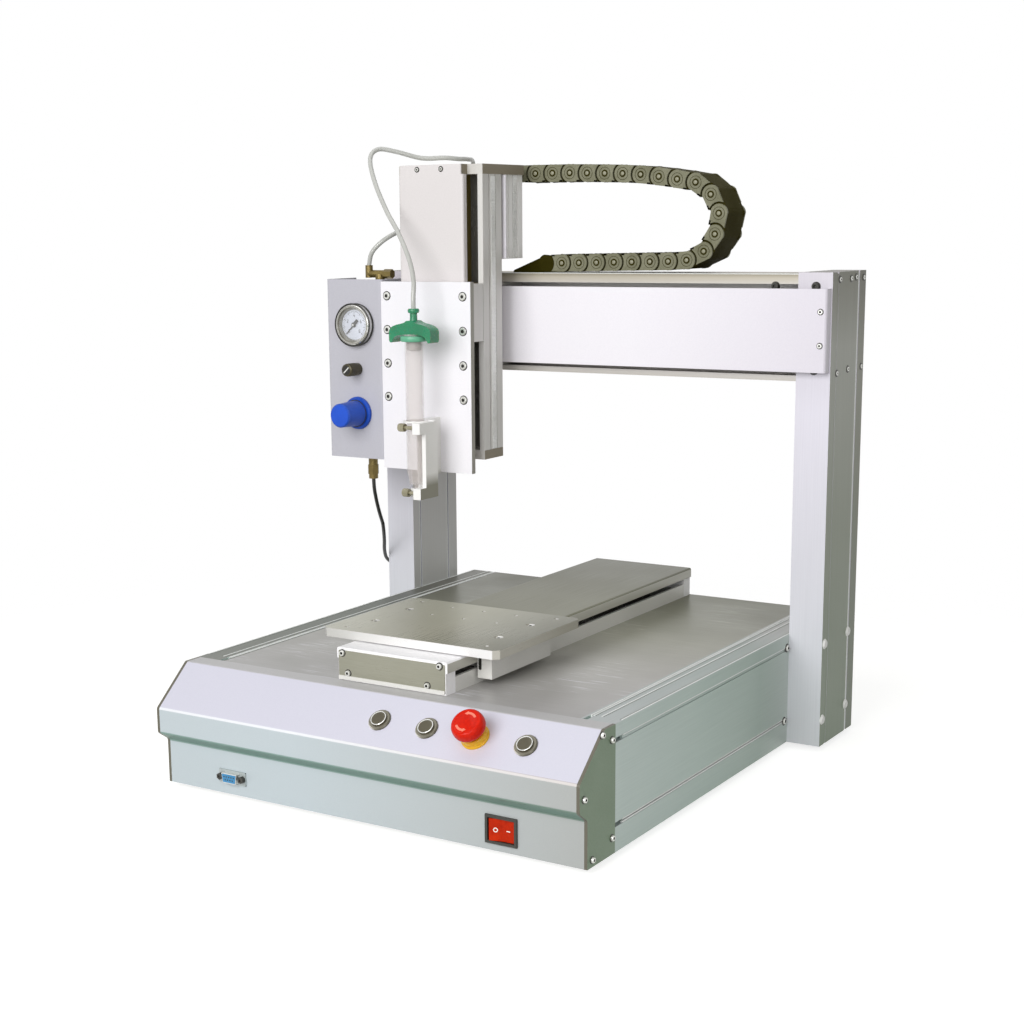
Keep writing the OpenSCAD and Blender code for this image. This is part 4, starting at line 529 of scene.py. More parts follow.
# Columns: grooved aluminium extrusions, anodised and bolted to the base. Their draw lines run upwards.
# Bright strips lie in their slots and white plugs close their screw holes.
# The anodising is a cool, faintly lilac grey. Tints paint light and shade on it: a faint green reflection
# at the foot, painted shade on the flanks and a brown-grey painted shade on the heads.
for side, flank in (("left", "F2F2E8"), ("right", "C0C6B2")):
    column_skin = finish("anodised_column_" + side, "E4E1EC", "DAD7E2", 0.4, 0.05, grain=(0.8, 0.8, 80),
                         cloud=260)
    tinted(column_skin, "Object", "Z", 0, 450,
           ((0.0, "F4FBF3"), (0.3, "F6FAF6"), (0.75, "FFFFFF"), (1.0, "F0EEEC")))
    tinted(column_skin, "Normal", "X", -1, 1, ((0.0, flank), (0.3, "FFFFFF"), (0.7, "FFFFFF"), (1.0, flank)))
    tinted(column_skin, "Normal", "Z", 0, 1, ((0.6, "FFFFFF"), (0.9, "7C7A6B")))
    dress(column_skin, "column_" + side)
# On the outer flank of the right column a painted green reflection grows towards the bench, and painted
# olive shade darkens its head and rear edge.
tinted(column_skin, "Object", "Z", 0, 470,
       ((0.0, "B2C3AE"), (0.45, "DDE2D6"), (0.85, "FFFFFF"), (1.0, "B4B2A2")), facing=RIGHT)
tinted(column_skin, "Object", "Y", 145, 234, ((0.0, "FFFFFF"), (0.787, "D0CEC4")), steps=True, facing=RIGHT)
# The plugs are plain white plastic, domed and evenly matt.
plug_white = finish("white_plastic_plug", "FAFAF8", "EFEFEC", 0.4, grain=0.8, cloud=15)
COLUMN_SCREWS = [(164, 464), (194, 464), (207, 465), (228, 464), (162, 375), (191, 377), (228, 377)]
COLUMN_PLUGS = [(151, 110), (214, 110), (150, 33), (213, 34)]
COLUMN_OUT, COLUMN_IN = 259.5, 225
STRIP_FOOT, STRIP_RUN, STRIP_DEEP = 6.5, 463, 2.2
STRIPS = ((COLUMN_OUT - 1.2, 215, 2.6, 0.5, 0), (COLUMN_OUT - 1.15, 159, 3.8, 0.3, 1),
          (COLUMN_IN + 1.2, 158.2, 1.6, 0.5, 0), (COLUMN_IN + 1.2, 214.2, 1.6, 0.5, 0))
for side, s in (("left", -1), ("right", 1)):
    x = s * COLUMN_OUT
    screws("column_screws_" + side, [(x, y, z) for y, z in COLUMN_SCREWS], (s, 0, 0), 2.2, 1.2, "frame", 1.4)
    bm = bmesh.new()
    for y, z in COLUMN_PLUGS:
        plug = laid((x, y, z), (s, 0, 0), UP)
        turned(bm, [(0, -0.4), (5.2, -0.4), (5.2, 0.3), (3.6, 1.9), (0, 2.2)], plug, 28)
    new_piece("column_plugs_" + side, bm, [plug_white], "frame")
    bm = bmesh.new()
    for strip_x, y, wide, r, paint in STRIPS:
        place = laid((s * strip_x, y, STRIP_FOOT), UP, RIGHT)
        drawn(bm, rounded(STRIP_DEEP, wide, r), place, STRIP_RUN, paint)
    own_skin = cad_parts["column_" + side].data.materials[0]
    new_piece("column_slot_strips_" + side, bm, [bright_lip, own_skin], "frame")


# Beam: a channel drawn in aluminium and anodised, bolted between the columns, with a folded and coated
# cover screwed over its front. The ground rails and drive screws of all three axes are dressed with it.
# The channel is paler than the columns; painted shade turns it olive over its top edge and grey along its
# lower one.
beam_skin = finish("anodised_beam_extrusion", "EFEDEE", "E4E2E0", 0.38, 0.1, grain=(80, 0.8, 0.8), cloud=260)
tinted(beam_skin, "Object", "Z", 455, 470,
       ((0.2, "FFFFFF"), (0.4, "DAD6CC"), (0.7, "CBC5B4"), (0.95, "9C9582")))
tinted(beam_skin, "Object", "Z", 367, 385, ((0.0, "D2CEC8"), (1.0, "FFFFFF")))
dress(beam_skin, "x_beam")
# A satin coat that is almost smooth, so the wide front of the cover has one soft glare; painted shade
# darkens it towards its right end.
satin_cover = finish("satin_white_cover_coat", "F7F4FA", "F0EDF4", 0.36, grain=1.4, cloud=300, bump=0.03)
tinted(satin_cover, "Object", "X", 50, 260, ((0.0, "FFFFFF"), (1.0, "EAE8EC")))
dress(satin_cover, "x_cover")
# Ground steel is a grey mirror, broken by the fine lines of the wheel.
ground_steel = finish("ground_steel", "B9B9B5", "A2A29D", 0.25, 0.6, grain=(0.5, 0.5, 12), cloud=40)
dress(ground_steel, "guide_rails", "x_screw", "y_screw", "z_screw", "z_rails")
COVER_FRONT, COVER_SCREW_X, COVER_SCREWS_Z = 134, 252.4, (434.5, 402.6)
BEAM_FRONT, BEAM_BOLTS = 145, ((243, 457.8), (202, 457.8), (243, 378.5))
screws("cover_screws", [(s * COVER_SCREW_X, COVER_FRONT, z) for s in (-1, 1) for z in COVER_SCREWS_Z], FRONT,
       2.4, 1.4, "frame", 0.7)
screws("beam_bolts", [(s * x, BEAM_FRONT, z) for s in (-1, 1) for x, z in BEAM_BOLTS], FRONT, 4.0, 3.0,
       "frame", 0.6, head=black_oxide)
# Along the beam's top run two bright strips, painted highlights, and a dark olive-grey strip, painted
# shade in a shallow groove.
dark_groove = finish("shaded_anodised_groove", "8D8877", "7A7666", 0.5, grain=(40, 0.6, 0.6), cloud=80)
BEAM_END, BEAM_RUN, BEAM_TOP = -225, 450, 469
bm = bmesh.new()
for y in (146.2, 163.0):
    drawn(bm, rounded(1.6, 1.2, 0.4), laid((BEAM_END, y, BEAM_TOP - 0.2), RIGHT, BACK), BEAM_RUN)
drawn(bm, rounded(1.4, 0.6, 0.2), laid((BEAM_END, 158.5, BEAM_TOP - 0.1), RIGHT, BACK), BEAM_RUN, paint=1)
new_piece("beam_top_lips", bm, [bright_lip, dark_groove], "frame")


# Table axis: a channel with machined end blocks under a folded cover, and a milled table on two arms.
# Plate and cover are clear anodised; a satin steel cap is screwed to the front block.
def edges(node):
    """The lowest and the highest corner of a CAD node, in mm."""
    return [Vector(corner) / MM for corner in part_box(node)]


# Milling leaves fine lines along y. Tints paint light and shade: the table's top is painted darker and
# olive to the right, its front edge is painted brightest there, and its right faces darker towards the back.
table_plate = finish("milled_anodised_plate", "F4F3F1", "ECEBE8", 0.3, 0.1, grain=(0.6, 40, 0.6), cloud=120)
tinted(table_plate, "Object", "X", -95, 95, ((0.0, "BDBDAD"), (0.5, "B4B3A1"), (1.0, "6A6955")), facing=UP)
tinted(table_plate, "Object", "X", -95, 95, ((0.0, "CBCBC8"), (0.6, "FAFAFC")), facing=FRONT)
tinted(table_plate, "Object", "Y", -170, -70, ((0.0, "D4D2C8"), (1.0, "BAB8AC")), facing=RIGHT)
dress(table_plate, "work_table")
# The brushed sheet has a painted highlight at its front end and a painted shade, olive grey, behind the
# table; its lips are a plain warm grey.
cover_plate = finish("brushed_cover_sheet", "FBFAFC", "F3F2F4", 0.36, 0.1, grain=(0.6, 70, 0.6), cloud=160)
tinted(cover_plate, "Object", "Y", -222, 270,
       ((0.1, "FFFFFF"), (0.28, "76765D"), (0.6, "6E6E55"), (1.0, "585840")))
dress(cover_plate, "y_cover")
lip_sheet = finish("brushed_lip_sheet", "C3C2B8", "B8B7AC", 0.4, 0.1, grain=(0.6, 70, 0.6), cloud=160)
low, high = edges("y_cover")
bm = bmesh.new()
for x in (low.x, high.x):
    drawn(bm, rounded(0.24, high.z - low.z - 1.6, 0.1),
          laid((x, low.y + 0.3, (low.z + high.z) / 2 - 0.7), BACK, RIGHT), high.y - low.y - 0.6)
new_piece("cover_lip_faces", bm, [lip_sheet], "frame")
# Bead blasting gives the channel and its end blocks a fine, even frost; the blocks are nearly white.
channel_skin = finish("bead_blasted_channel", "E4E3DF", "D6D5D0", 0.42, 0.1, grain=0.7, cloud=80)
dress(channel_skin, "y_body", "y_saddle")
machined_block = finish("bead_blasted_block", "FFFFFF", "F6F5F8", 0.45, grain=0.7, cloud=80, bump=0.1)
dress(machined_block, "y_end_blocks")
# Satin stainless steel is brushed along x and reads as a warm mid grey.
satin_steel = finish("satin_stainless_cap", "9C9B8C", "908F80", 0.3, 0.2, grain=(30, 0.5, 0.5), cloud=60,
                     bump=0.05)
BLOCK_FRONT, CAP_THICK, CAP_WIDE = -221, 0.8, 114.6
CAP_SCREWS = ((-53, 142), (-47, 124), (52, 143), (39, 124))
bm = bmesh.new()
drawn(bm, rounded(CAP_WIDE, 26.2, 0.8), laid((0, BLOCK_FRONT, 131.4), FRONT, RIGHT), CAP_THICK)
drawn(bm, rounded(CAP_WIDE, 3.6, 0.8), laid((0, BLOCK_FRONT, 119.6), FRONT, RIGHT), 2 * CAP_THICK, paint=1)
new_piece("front_block_cap", bm, [satin_steel, channel_skin], "frame")
# A narrow clamp slot is milled into the front end of each of the table's arms; it is drawn as a flat
# black patch, painted shade in place of its depth.
ARM_SLOT_IN, ARM_SLOT_DOWN = 12.4, 11.5
low, high = edges("y_saddle")
bm = bmesh.new()
for x in (low.x + ARM_SLOT_IN, high.x - ARM_SLOT_IN):
    drawn(bm, rounded(3.2, 12, 1.2), laid((x, low.y + 0.1, high.z - ARM_SLOT_DOWN), FRONT, RIGHT), 0.2)
new_piece("arm_end_slot_shade", bm, [black_oxide], "table_carriage")
screws("end_block_screws", [(x, BLOCK_FRONT - CAP_THICK, z) for x, z in CAP_SCREWS], FRONT, 2.7, 2.0,
       "frame", 0.8)
TABLE_Y, COUNTERBORE_Z = -121, 152.2
screws("table_screws", [(x, TABLE_Y + y, COUNTERBORE_Z) for x in (-67.8, 67.8) for y in (-28, 28)], UP,
       3.0, 3.2, "table_carriage", 0)


# Head: the cross slide carries an upright channel with a housing on top, a motor case behind and a
# front cover. Rolled racks of fine teeth run down the sides of the channel and of the case.
def shaded_inside(material, low, high, code):
    """Multiplies a material's tone by a tint inside a box given in mm, such as painted shade in a channel."""
    tree = material.node_tree
    colour = tree.nodes["Principled BSDF"].inputs["Base Color"]
    place = add(tree, "TexCoord").outputs["Object"]
    above = add(tree, "VectorMath", {0: place, 1: Vector(low) * MM}, operation="SUBTRACT")
    below = add(tree, "VectorMath", {0: Vector(high) * MM, 1: place}, operation="SUBTRACT")
    least = add(tree, "VectorMath", {0: above.outputs[0], 1: below.outputs[0]}, operation="MINIMUM")
    parts = add(tree, "SeparateXYZ", {0: least.outputs[0]}).outputs
    least = add(tree, "Math", {0: parts[0], 1: parts[1]}, operation="MINIMUM")
    least = add(tree, "Math", {0: least.outputs[0], 1: parts[2]}, operation="MINIMUM")
    within = add(tree, "Math", {0: least.outputs[0], 1: 0.0}, operation="GREATER_THAN")
    tint = add(tree, "Mix", {0: within.outputs[0], COLOUR_A: linear("FFFFFF"), COLOUR_B: linear(code)},
               data_type="RGBA")
    both = add(tree, "VectorMath", {0: colour.links[0].from_socket, 1: tint.outputs[COLOUR_OUT]},
               operation="MULTIPLY")
    tree.links.new(both.outputs[0], colour)


# Drawn and anodised, the upright is a streaky grey outside; inside, painted shade darkens it to brown.
upright_skin = finish("anodised_upright_channel", "DDDBD8", "CDCBC7", 0.36, 0.1, grain=(0.8, 0.8, 60),
                      cloud=120)
shaded_inside(upright_skin, (-181, 73, 285), (-87, 104, 575), "B09C58")
dress(upright_skin, "z_body", "x_saddle", "z_saddle")
# Cast housings have a slight pebble under their paint; the faces that look right get a brown-grey painted
# shade.
housing_grey = finish("grey_cast_housing", "D9D6D2", "C8C5C0", 0.5, 0.05, cloud=60, bump=0.12)
tinted(housing_grey, "Normal", "X", -1, 1, ((0.5, "FFFFFF"), (0.9, "A9A08C")))
dress(housing_grey, "z_end_plates")
# The motor case is drawn like the upright, but almost white.
case_skin = finish("anodised_motor_case", "FFFEFD", "F6F4F2", 0.36, 0.05, grain=(0.8, 0.8, 60), cloud=120)
dress(case_skin, "z_motor")
# Powder coats: the front cover is a warm white that glares softly, the tool plate a cooler one, with its
# right edge in a grey painted shade.
glare_cover = finish("satin_white_head_coat", "E2DDDD", "DAD5D5", 0.4, grain=1.4, cloud=140, bump=0.04)
dress(glare_cover, "z_cover")
plate_white = finish("satin_white_plate_coat", "F8F6FA", "F1EFF5", 0.42, grain=1.4, cloud=180, bump=0.05)
tinted(plate_white, "Normal", "X", -1, 1, ((0.8, "FFFFFF"), (0.95, "A3A294")))
dress(plate_white, "tool_plate")
HEAD_FRONT, HEAD_SCREW_Z = 57.5, 575
screws("front_cover_screws", [(x, HEAD_FRONT, HEAD_SCREW_Z) for x in (-153, -124)], FRONT, 1.9, 1.2,
       "cross_carriage", 1.0)
PLATE_FRONT, TOP_SCREW_Z, SCREW_PITCH = 46.1, 448.5, 34.7
screws("tool_plate_screws", [(x, PLATE_FRONT, TOP_SCREW_Z - i * SCREW_PITCH)
                             for x in (-185.5, -92.3) for i in range(4)], FRONT, 3.9, 1.3, "tool_slide", 0.9)
# Rolled teeth glitter: each is 1.4 mm high, and every one catches the light a little differently.
rack_skin = finish("rolled_bright_rack", "FFFFFF", "E6E6E2", 0.3, 0.1, grain=(0.6, 0.6, 1.4), cloud=9,
                   bump=0.25)
TOOTH, TOOTH_ROOT, TOOTH_TIP = 1.4, 0.1, 0.55
UPRIGHT_FOOT, CASE_FOOT, HEAD_TOP = 291, 485, 569
bm = bmesh.new()
for x, y, wide, z0, z1 in ((-83, 90.5, 8.0, UPRIGHT_FOOT, HEAD_TOP), (-85, 136.5, 7.0, CASE_FOOT, HEAD_TOP)):
    teeth = []
    for i in range(int((z1 - z0) / TOOTH)):
        teeth += [(TOOTH_ROOT, z0 + TOOTH * i), (TOOTH_TIP, z0 + TOOTH * (i + 0.5))]
    rack = [(-0.2, z0)] + teeth + [(-0.2, teeth[-1][1])]
    drawn(bm, rack, laid((x, y + wide / 2, 0), FRONT, RIGHT), wide)
new_piece("head_racks", bm, [rack_skin], "cross_carriage")
bm = bmesh.new()
drawn(bm, rounded(4.2, 2.0, 0.5), laid((-83.4, 113.2, CASE_FOOT), UP, RIGHT), HEAD_TOP - CASE_FOOT)
new_piece("case_front_edge", bm, [satin_cover], "cross_carriage")


# Syringe: a clear moulded barrel with a piston in it, in an anodised clamp holder that is screwed to the
# tool plate, under a green winged adapter that twists onto the barrel's flange.
# The holder is a bright satin white; painted olive shade darkens its right cheek at the lower end.
holder_skin = finish("satin_anodised_holder", "FCFBFA", "F2F1F0", 0.34, grain=0.7, cloud=60)
tinted(holder_skin, "Normal", "X", -1, 1, ((0.6, "FFFFFF"), (0.95, "FFFFFC")))
tinted(holder_skin, "Object", "Z", 245, 285, ((0.4, "8E8C7C"), (0.7, "FFFFFF")), facing=RIGHT)
dress(holder_skin, "syringe_holder")
# The wall is even and thin: a pale milky film through which the piston and the holder show.
clear_barrel = finish("clear_polypropylene", "EBE2DE", "E0D7D3", 0.16, grain=(4, 4, 40), cloud=60, bump=0.01,
                      Coat_Weight=0.4, Alpha=0.21)
dress(clear_barrel, "syringe_barrel")
# Green plastic takes some light in, so its arch is soft; the ring under it is paler.
green_moulding = finish("translucent_green_moulding", "2A9066", "1A6E4A", 0.28, grain=1.5, cloud=20,
                        bump=0.03, Subsurface_Weight=0.2)
pale_green = finish("pale_green_moulding", "6DB895", "58A783", 0.28, grain=1.5, cloud=20, bump=0.03)
BARREL_TOP = Vector((-125, 6, 413))
GRIP_DEEP = 16
# The adapter is an arched grip over a ring that turns on the flange, with a stem and a nut on top.
arch = [(0, 13.4), (3.8, 13.2), (6, 11.6), (10, 10.4), (16, 9.2), (21, 7.4), (24, 4.8), (25, 2), (25, -6),
        (24, -8.4), (22, -8.6), (20.6, -6), (18, -2.8), (14, -1.2), (6, -0.6)]
arch += [(-x, z) for x, z in arch[:0:-1]]
bm = bmesh.new()
drawn(bm, arch, laid(BARREL_TOP + Vector((0, GRIP_DEEP / 2, 0)), FRONT, RIGHT), GRIP_DEEP)
mouth = laid(BARREL_TOP, UP, RIGHT)
turned(bm, [(9.8, -7.4), (13.2, -7.4), (13.7, -6.8), (13.7, -2.6), (13.2, -2), (5, -1.6)], mouth, 40, paint=1)
turned(bm, [(5.6, 9), (4, 13), (3.7, 16), (3.7, 20.4), (5.4, 21), (5.8, 22), (5.8, 24.2), (5.2, 25),
            (2.6, 25), (2.6, 14)], mouth, 32)
grip = new_piece("adapter_grip", bm, [green_moulding, pale_green], "tool_slide", sharp=40)
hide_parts("syringe_adapter")
# The piston is soft grey plastic with two wiping rims.
piston_grey = finish("grey_wiper_piston", "B9B6B4", "A5A2A0", 0.45, grain=1, cloud=12)
bm = bmesh.new()
turned(bm, [(0, -18), (7.2, -16), (8.1, -12), (8.1, -11), (7.6, -10.4), (7.6, -6.6), (8.1, -6), (8.1, -4.5),
            (6.8, -4.2), (0, -7)], mouth, 36)
new_piece("syringe_piston", bm, [piston_grey], "tool_slide")


# Thumb screws: two knurled screws of nickelled steel, each turned in one piece, that close the holder's
# clamp rings round the barrel. Their ends are faced bright.
def knurled(bm, r, height, z0, ridges, place, depth):
    """Adds a knurled sleeve: ridges round a cylinder of radius r in mm, from z0 up by height."""
    line = []
    for k in range(2 * ridges):
        reach = r + depth * (k % 2)
        a = math.pi * k / ridges
        line.append((reach * math.cos(a), reach * math.sin(a)))
    drawn(bm, line, place @ Matrix.Translation((0, 0, z0 * MM)), height)


# Worn nickel is yellowish, with dark tones in small patches.
thumb_steel = finish("nickelled_thumb_screw", "B3AE96", "7A745C", 0.25, 0.6, grain=0.5, cloud=8)
dress(thumb_steel, "clamp_screw_upper", "clamp_screw_lower")
CLAMP_Y = -8
for name, z in (("upper", 320), ("lower", 254)):
    end_x = edges("clamp_screw_" + name)[0].x
    place = laid((end_x, CLAMP_Y, z), RIGHT, UP)
    bm = bmesh.new()
    knurled(bm, 3.95, 5.6, 0.7, 20, place, 0.3)
    turned(bm, [(3.4, -0.02), (2.2, -0.1), (0, -0.1)], place, 24, paint=1)
    new_piece("clamp_knurl_" + name, bm, [thumb_steel, plated_steel], "clamp_screw_" + name)


# Pneumatic panel: a folded and coated box, fixed beside the tool plate. It carries a valve block and pipe
# fittings that are turned from brass.
# The powder coat is a soft lilac grey with a fine peel.
panel_lilac = finish("lilac_grey_panel_coat", "C2C1C9", "BAB9C2", 0.45, grain=1.4, cloud=160, bump=0.05)
dress(panel_lilac, "control_box")
# Turned brass is patchy, from dull gold to brown.
turned_brass = finish("turned_brass", "8E7C48", "5C4E2A", 0.3, 0.6, grain=0.6, cloud=9)
dress(turned_brass, "box_fittings", "air_inlet")


# Pressure gauge: a chromed steel case with a printed tin dial, a lacquered needle and a clear domed lens.
# Its threaded neck goes through the panel, where a nut holds it.
# Chrome is the clearest mirror on the machine; the needle is plain black lacquer.
chrome = finish("polished_chrome_bezel", "E6E5E2", "CFCEC9", 0.14, 0.8, grain=0.8, cloud=14, bump=0.02)
dress(chrome, "gauge")
black_lacquer = finish("black_lacquer", "1C1C1C", "141414", 0.4, grain=0.6, cloud=10)
dress(black_lacquer, "gauge_needle")
# The dial is white tin with its scale printed in black. A digit is made of strokes: each has its place
# across and up in half digits, and whether it lies flat.
dial_white = finish("white_printed_dial", "DDE1EC", "CFD4E2", 0.4, grain=0.8, cloud=14)
STROKES = {"a": (0, 2, True), "b": (1, 1, False), "c": (1, -1, False), "d": (0, -2, True),
           "e": (-1, -1, False), "f": (-1, 1, False), "g": (0, 0, True)}
DIGITS = {0: "abcdef", 2: "abged", 4: "fgbc", 6: "afgedc", 8: "abcdefg"}
GAUGE = Vector((-226.5, 48, 418))
DIAL_OUT, INK_FOOT, INK = 4.02, 0.1, 0.08
SCALE_START, SCALE_SWEEP, SCALE_STEPS = 225, 270, 40  # degrees, degrees, steps between marks
SCALE_R, DIGIT_R = 14.8, 9.2
bm = bmesh.new()
face = laid(GAUGE - Vector((0, DIAL_OUT, 0)), FRONT, RIGHT)
turned(bm, [(16.2, 0), (16.0, 0.1), (0, 0.12)], face, 48)
for i in range(SCALE_STEPS + 1):
    a = math.radians(SCALE_START - SCALE_SWEEP / SCALE_STEPS * i)
    size, width = (3.2, 0.45) if i % 5 == 0 else (1.8, 0.28)
    way = Vector((math.cos(a), math.sin(a), 0))
    place = face @ Matrix.Translation(way * (SCALE_R - size / 2) * MM) @ Matrix.Rotation(a, 4, "Z")
    drawn(bm, rounded(size, width, 0.1, 1), place @ Matrix.Translation((0, 0, INK_FOOT * MM)), INK, paint=1)
for n, digit in enumerate(DIGITS):
    a = math.radians(SCALE_START - SCALE_SWEEP / (len(DIGITS) - 1) * n)
    at = Vector((DIGIT_R * math.cos(a), DIGIT_R * math.sin(a), INK_FOOT))
    for stroke in DIGITS[digit]:
        u, v, lies_flat = STROKES[stroke]
        size = (1.5, 0.4) if lies_flat else (0.4, 1.5)
        place = face @ Matrix.Translation((at + Vector((u * 0.7, v * 0.75, 0))) * MM)
        drawn(bm, rounded(*size, 0.1, 1), place, INK, paint=1)
new_piece("gauge_dial", bm, [dial_white, black_lacquer], "tool_slide")
# A clear lens shows only as a faint sheen.
lens_glass = finish("clear_gauge_lens", "FFFFFF", "FAFAFA", 0.06, grain=8, cloud=30, bump=0.0, Alpha=0.16)
front = laid(GAUGE, FRONT, RIGHT)
bm = bmesh.new()
turned(bm, [(17.4, 7.7), (17.2, 8.0), (10, 8.5), (0, 8.7)], front, 48)
new_piece("gauge_lens", bm, [lens_glass], "tool_slide")
# The dished inside of the bezel has painted shade on the left and stays white on the right.
shaded_steel = finish("shaded_bezel_steel", "E2E1DC", "CFCEC8", 0.2, 0.3, grain=0.6, cloud=12)
tinted(shaded_steel, "Normal", "X", -1, 1, ((0.25, "FFFFFF"), (0.5, "A09E96"), (0.75, "7C7A72")))
bm = bmesh.new()
turned(bm, [(21.7, 0.3), (22.3, 0.4), (22.3, 2.2), (21.7, 2.4)], front, 48, paint=1)
turned(bm, [(21.7, 7.0), (22.6, 7.2), (22.6, 8.2), (21.7, 8.6)], front, 48, paint=1)
turned(bm, [(20.0, 9.0), (19.2, 9.1), (17.9, 8.2), (15.6, 4.7), (15.6, 4.0)], front, 48)
new_piece("gauge_bezel_rings", bm, [shaded_steel, black_oxide], "tool_slide")
NEEDLE_OUT, NEEDLE_TURN = 5.3, math.radians(45)
bm = bmesh.new()
place = laid(GAUGE - Vector((0, NEEDLE_OUT, 0)), FRONT, RIGHT) @ Matrix.Rotation(NEEDLE_TURN, 4, "Z")
drawn(bm, [(-1.5, -0.9), (2.0, -0.9), (3.2, -1.7), (7.0, -1.5), (7.0, 1.5), (3.2, 1.7), (2.0, 0.9),
           (-1.5, 0.9)], place, 0.5)
new_piece("needle_counterweight", bm, [black_lacquer], "gauge_needle")


# Metering knob: turned from brass and knurled, with a slot across its end. It screws into the valve block
# through the panel.
# The brass has gone dark and keeps faint lathe marks along its length.
dark_brass = finish("dark_turned_brass", "4C462E", "35301D", 0.32, 0.4, grain=(0.5, 4, 0.5), cloud=10)
dress(dark_brass, "metering_knob")
METERING_Z, SLOT_TURN, SLOT_FLOOR = 371.5, 0.75, 20.38
bm = bmesh.new()
place = laid((GAUGE.x, GAUGE.y, METERING_Z), FRONT, RIGHT)
knurled(bm, 6.5, 11.5, 6.5, 30, place, 0.35)
turned(bm, [(6.4, 19.6), (5.6, 20.02), (5.0, 20.4)], place, 32)
turned(bm, [(5.0, 20.4), (0, 20.4)], place, 32, paint=2)
slotted = place @ Matrix.Rotation(SLOT_TURN, 4, "Z") @ Matrix.Translation((0, 0, SLOT_FLOOR * MM))
drawn(bm, rounded(9.0, 1.2, 0.4), slotted, 0.14, paint=1)
new_piece("metering_knurl", bm, [dark_brass, nickel, black_oxide], "metering_knob")


# Regulator knob: a ribbed grip moulded in blue plastic and pushed on the regulator's spindle, over a
# flange that is held against the panel.
# The moulding is satin; its flat cap is a brighter copy of it, painted light where it faces the lamp.
blue_moulding = finish("blue_satin_moulding", "2153C2", "1B47A9", 0.35, grain=1, cloud=20, bump=0.05,
                       Specular_IOR_Level=0.3)
dress(blue_moulding, "regulator_knob")
bright_blue = finish("bright_blue_cap", "2459D4", "1E4EC2", 0.4, grain=1, cloud=20, Specular_IOR_Level=0.3)
REGULATOR_Z = 325
bm = bmesh.new()
place = laid((GAUGE.x, GAUGE.y, REGULATOR_Z), FRONT, RIGHT)
knurled(bm, 12.4, 21, 8, 44, place, 0.25)
turned(bm, [(11.2, 33.9), (11.0, 34.2), (9.5, 34.3), (0, 34.3)], place, 40, paint=1)
turned(bm, [(17.05, 0.6), (17.3, 0.6), (17.3, 1.4), (17.05, 1.5)], place, 48)
turned(bm, [(14.4, 5.9), (14.4, 6.15), (13.3, 6.15), (13.3, 5.9)], place, 48, paint=2)
new_piece("regulator_grip", bm, [blue_moulding, bright_blue, black_moulding], "regulator_knob")


# Cable chain: twenty-three moulded nylon links, each snapped on the pins of the next. In the machine the
# upper run moves with the head, the lower one stays on the beam and the bend travels half as far; here the
# links are one fixed mesh.
# The nylon is grey on the outer cheeks, olive black on the rest of each link and pale on the pin heads;
# the olive black inner cheeks are painted shade in the gaps between links.
cheek_nylon = finish("grey_cheek_nylon", "8C8B76", "68674F", 0.5, grain=0.9, cloud=16, bump=0.15,
                     Specular_IOR_Level=0.2)
chain_nylon = finish("moulded_olive_black_nylon", "3B370E", "2D2906", 0.6, grain=0.9, cloud=25, bump=0.12,
                     Specular_IOR_Level=0.03)
pin_nylon = finish("pale_nylon_pin", "9A9882", "86846C", 0.4, grain=0.8, cloud=10)
dress(chain_nylon, "chain_anchor")
PITCH = 20.5
LINK_R = 9.3
OUTSIDE, CHEEK, INSIDE = 22.5, 2.4, 17.4  # a link's half width, its cheek and the half width of its hollow
CHEEK_GAP, HIDDEN_GAP = 2.1, 0.3
CHAIN_START, CHAIN_Y, LOW_RUN_Z = -99, 190.5, 478.7
TURNS = [0, 0.5, 0, 1.5, 0, 0.5, 1.5, 3, 1.5, 1.5, 26, 28, 37, 24, 30, 21.5, 2.7] + 6 * [0]  # degrees
BEND_PIN = 10
BETWEEN_RUNS_Z = 525
headings = [-math.radians(sum(TURNS[:i + 1])) for i in range(len(TURNS))]
pins = [Vector((CHAIN_START, 0, 0))]
for a in headings:
    pins.append(pins[-1] + PITCH * Vector((math.cos(a), 0, math.sin(a))))
pins = [p + Vector((0, CHAIN_Y, LOW_RUN_Z - pins[-1].z)) for p in pins]


def cheek(bm, place, x0, x1, y0, y1, gap, paint):
    """One side plate of a link: a disc about x0 and a flat to the hollow, wider by gap, round the next
    disc."""
    way = 1 if x1 > x0 else -1
    line = []
    for a in range(90, 271, 15):
        reach = LINK_R - 0.5 if a in (90, 270) else LINK_R
        line.append((x0 + way * LINK_R * math.cos(math.radians(a)), reach * math.sin(math.radians(a))))
    hollow = LINK_R + gap
    line += [(x1 - way * hollow * math.cos(math.radians(a)), hollow * math.sin(math.radians(a)))
             for a in range(-48, 49, 12)]
    drawn(bm, line, place @ laid((0, y0, 0), (0, y1 - y0, 0), RIGHT), abs(y1 - y0), paint)


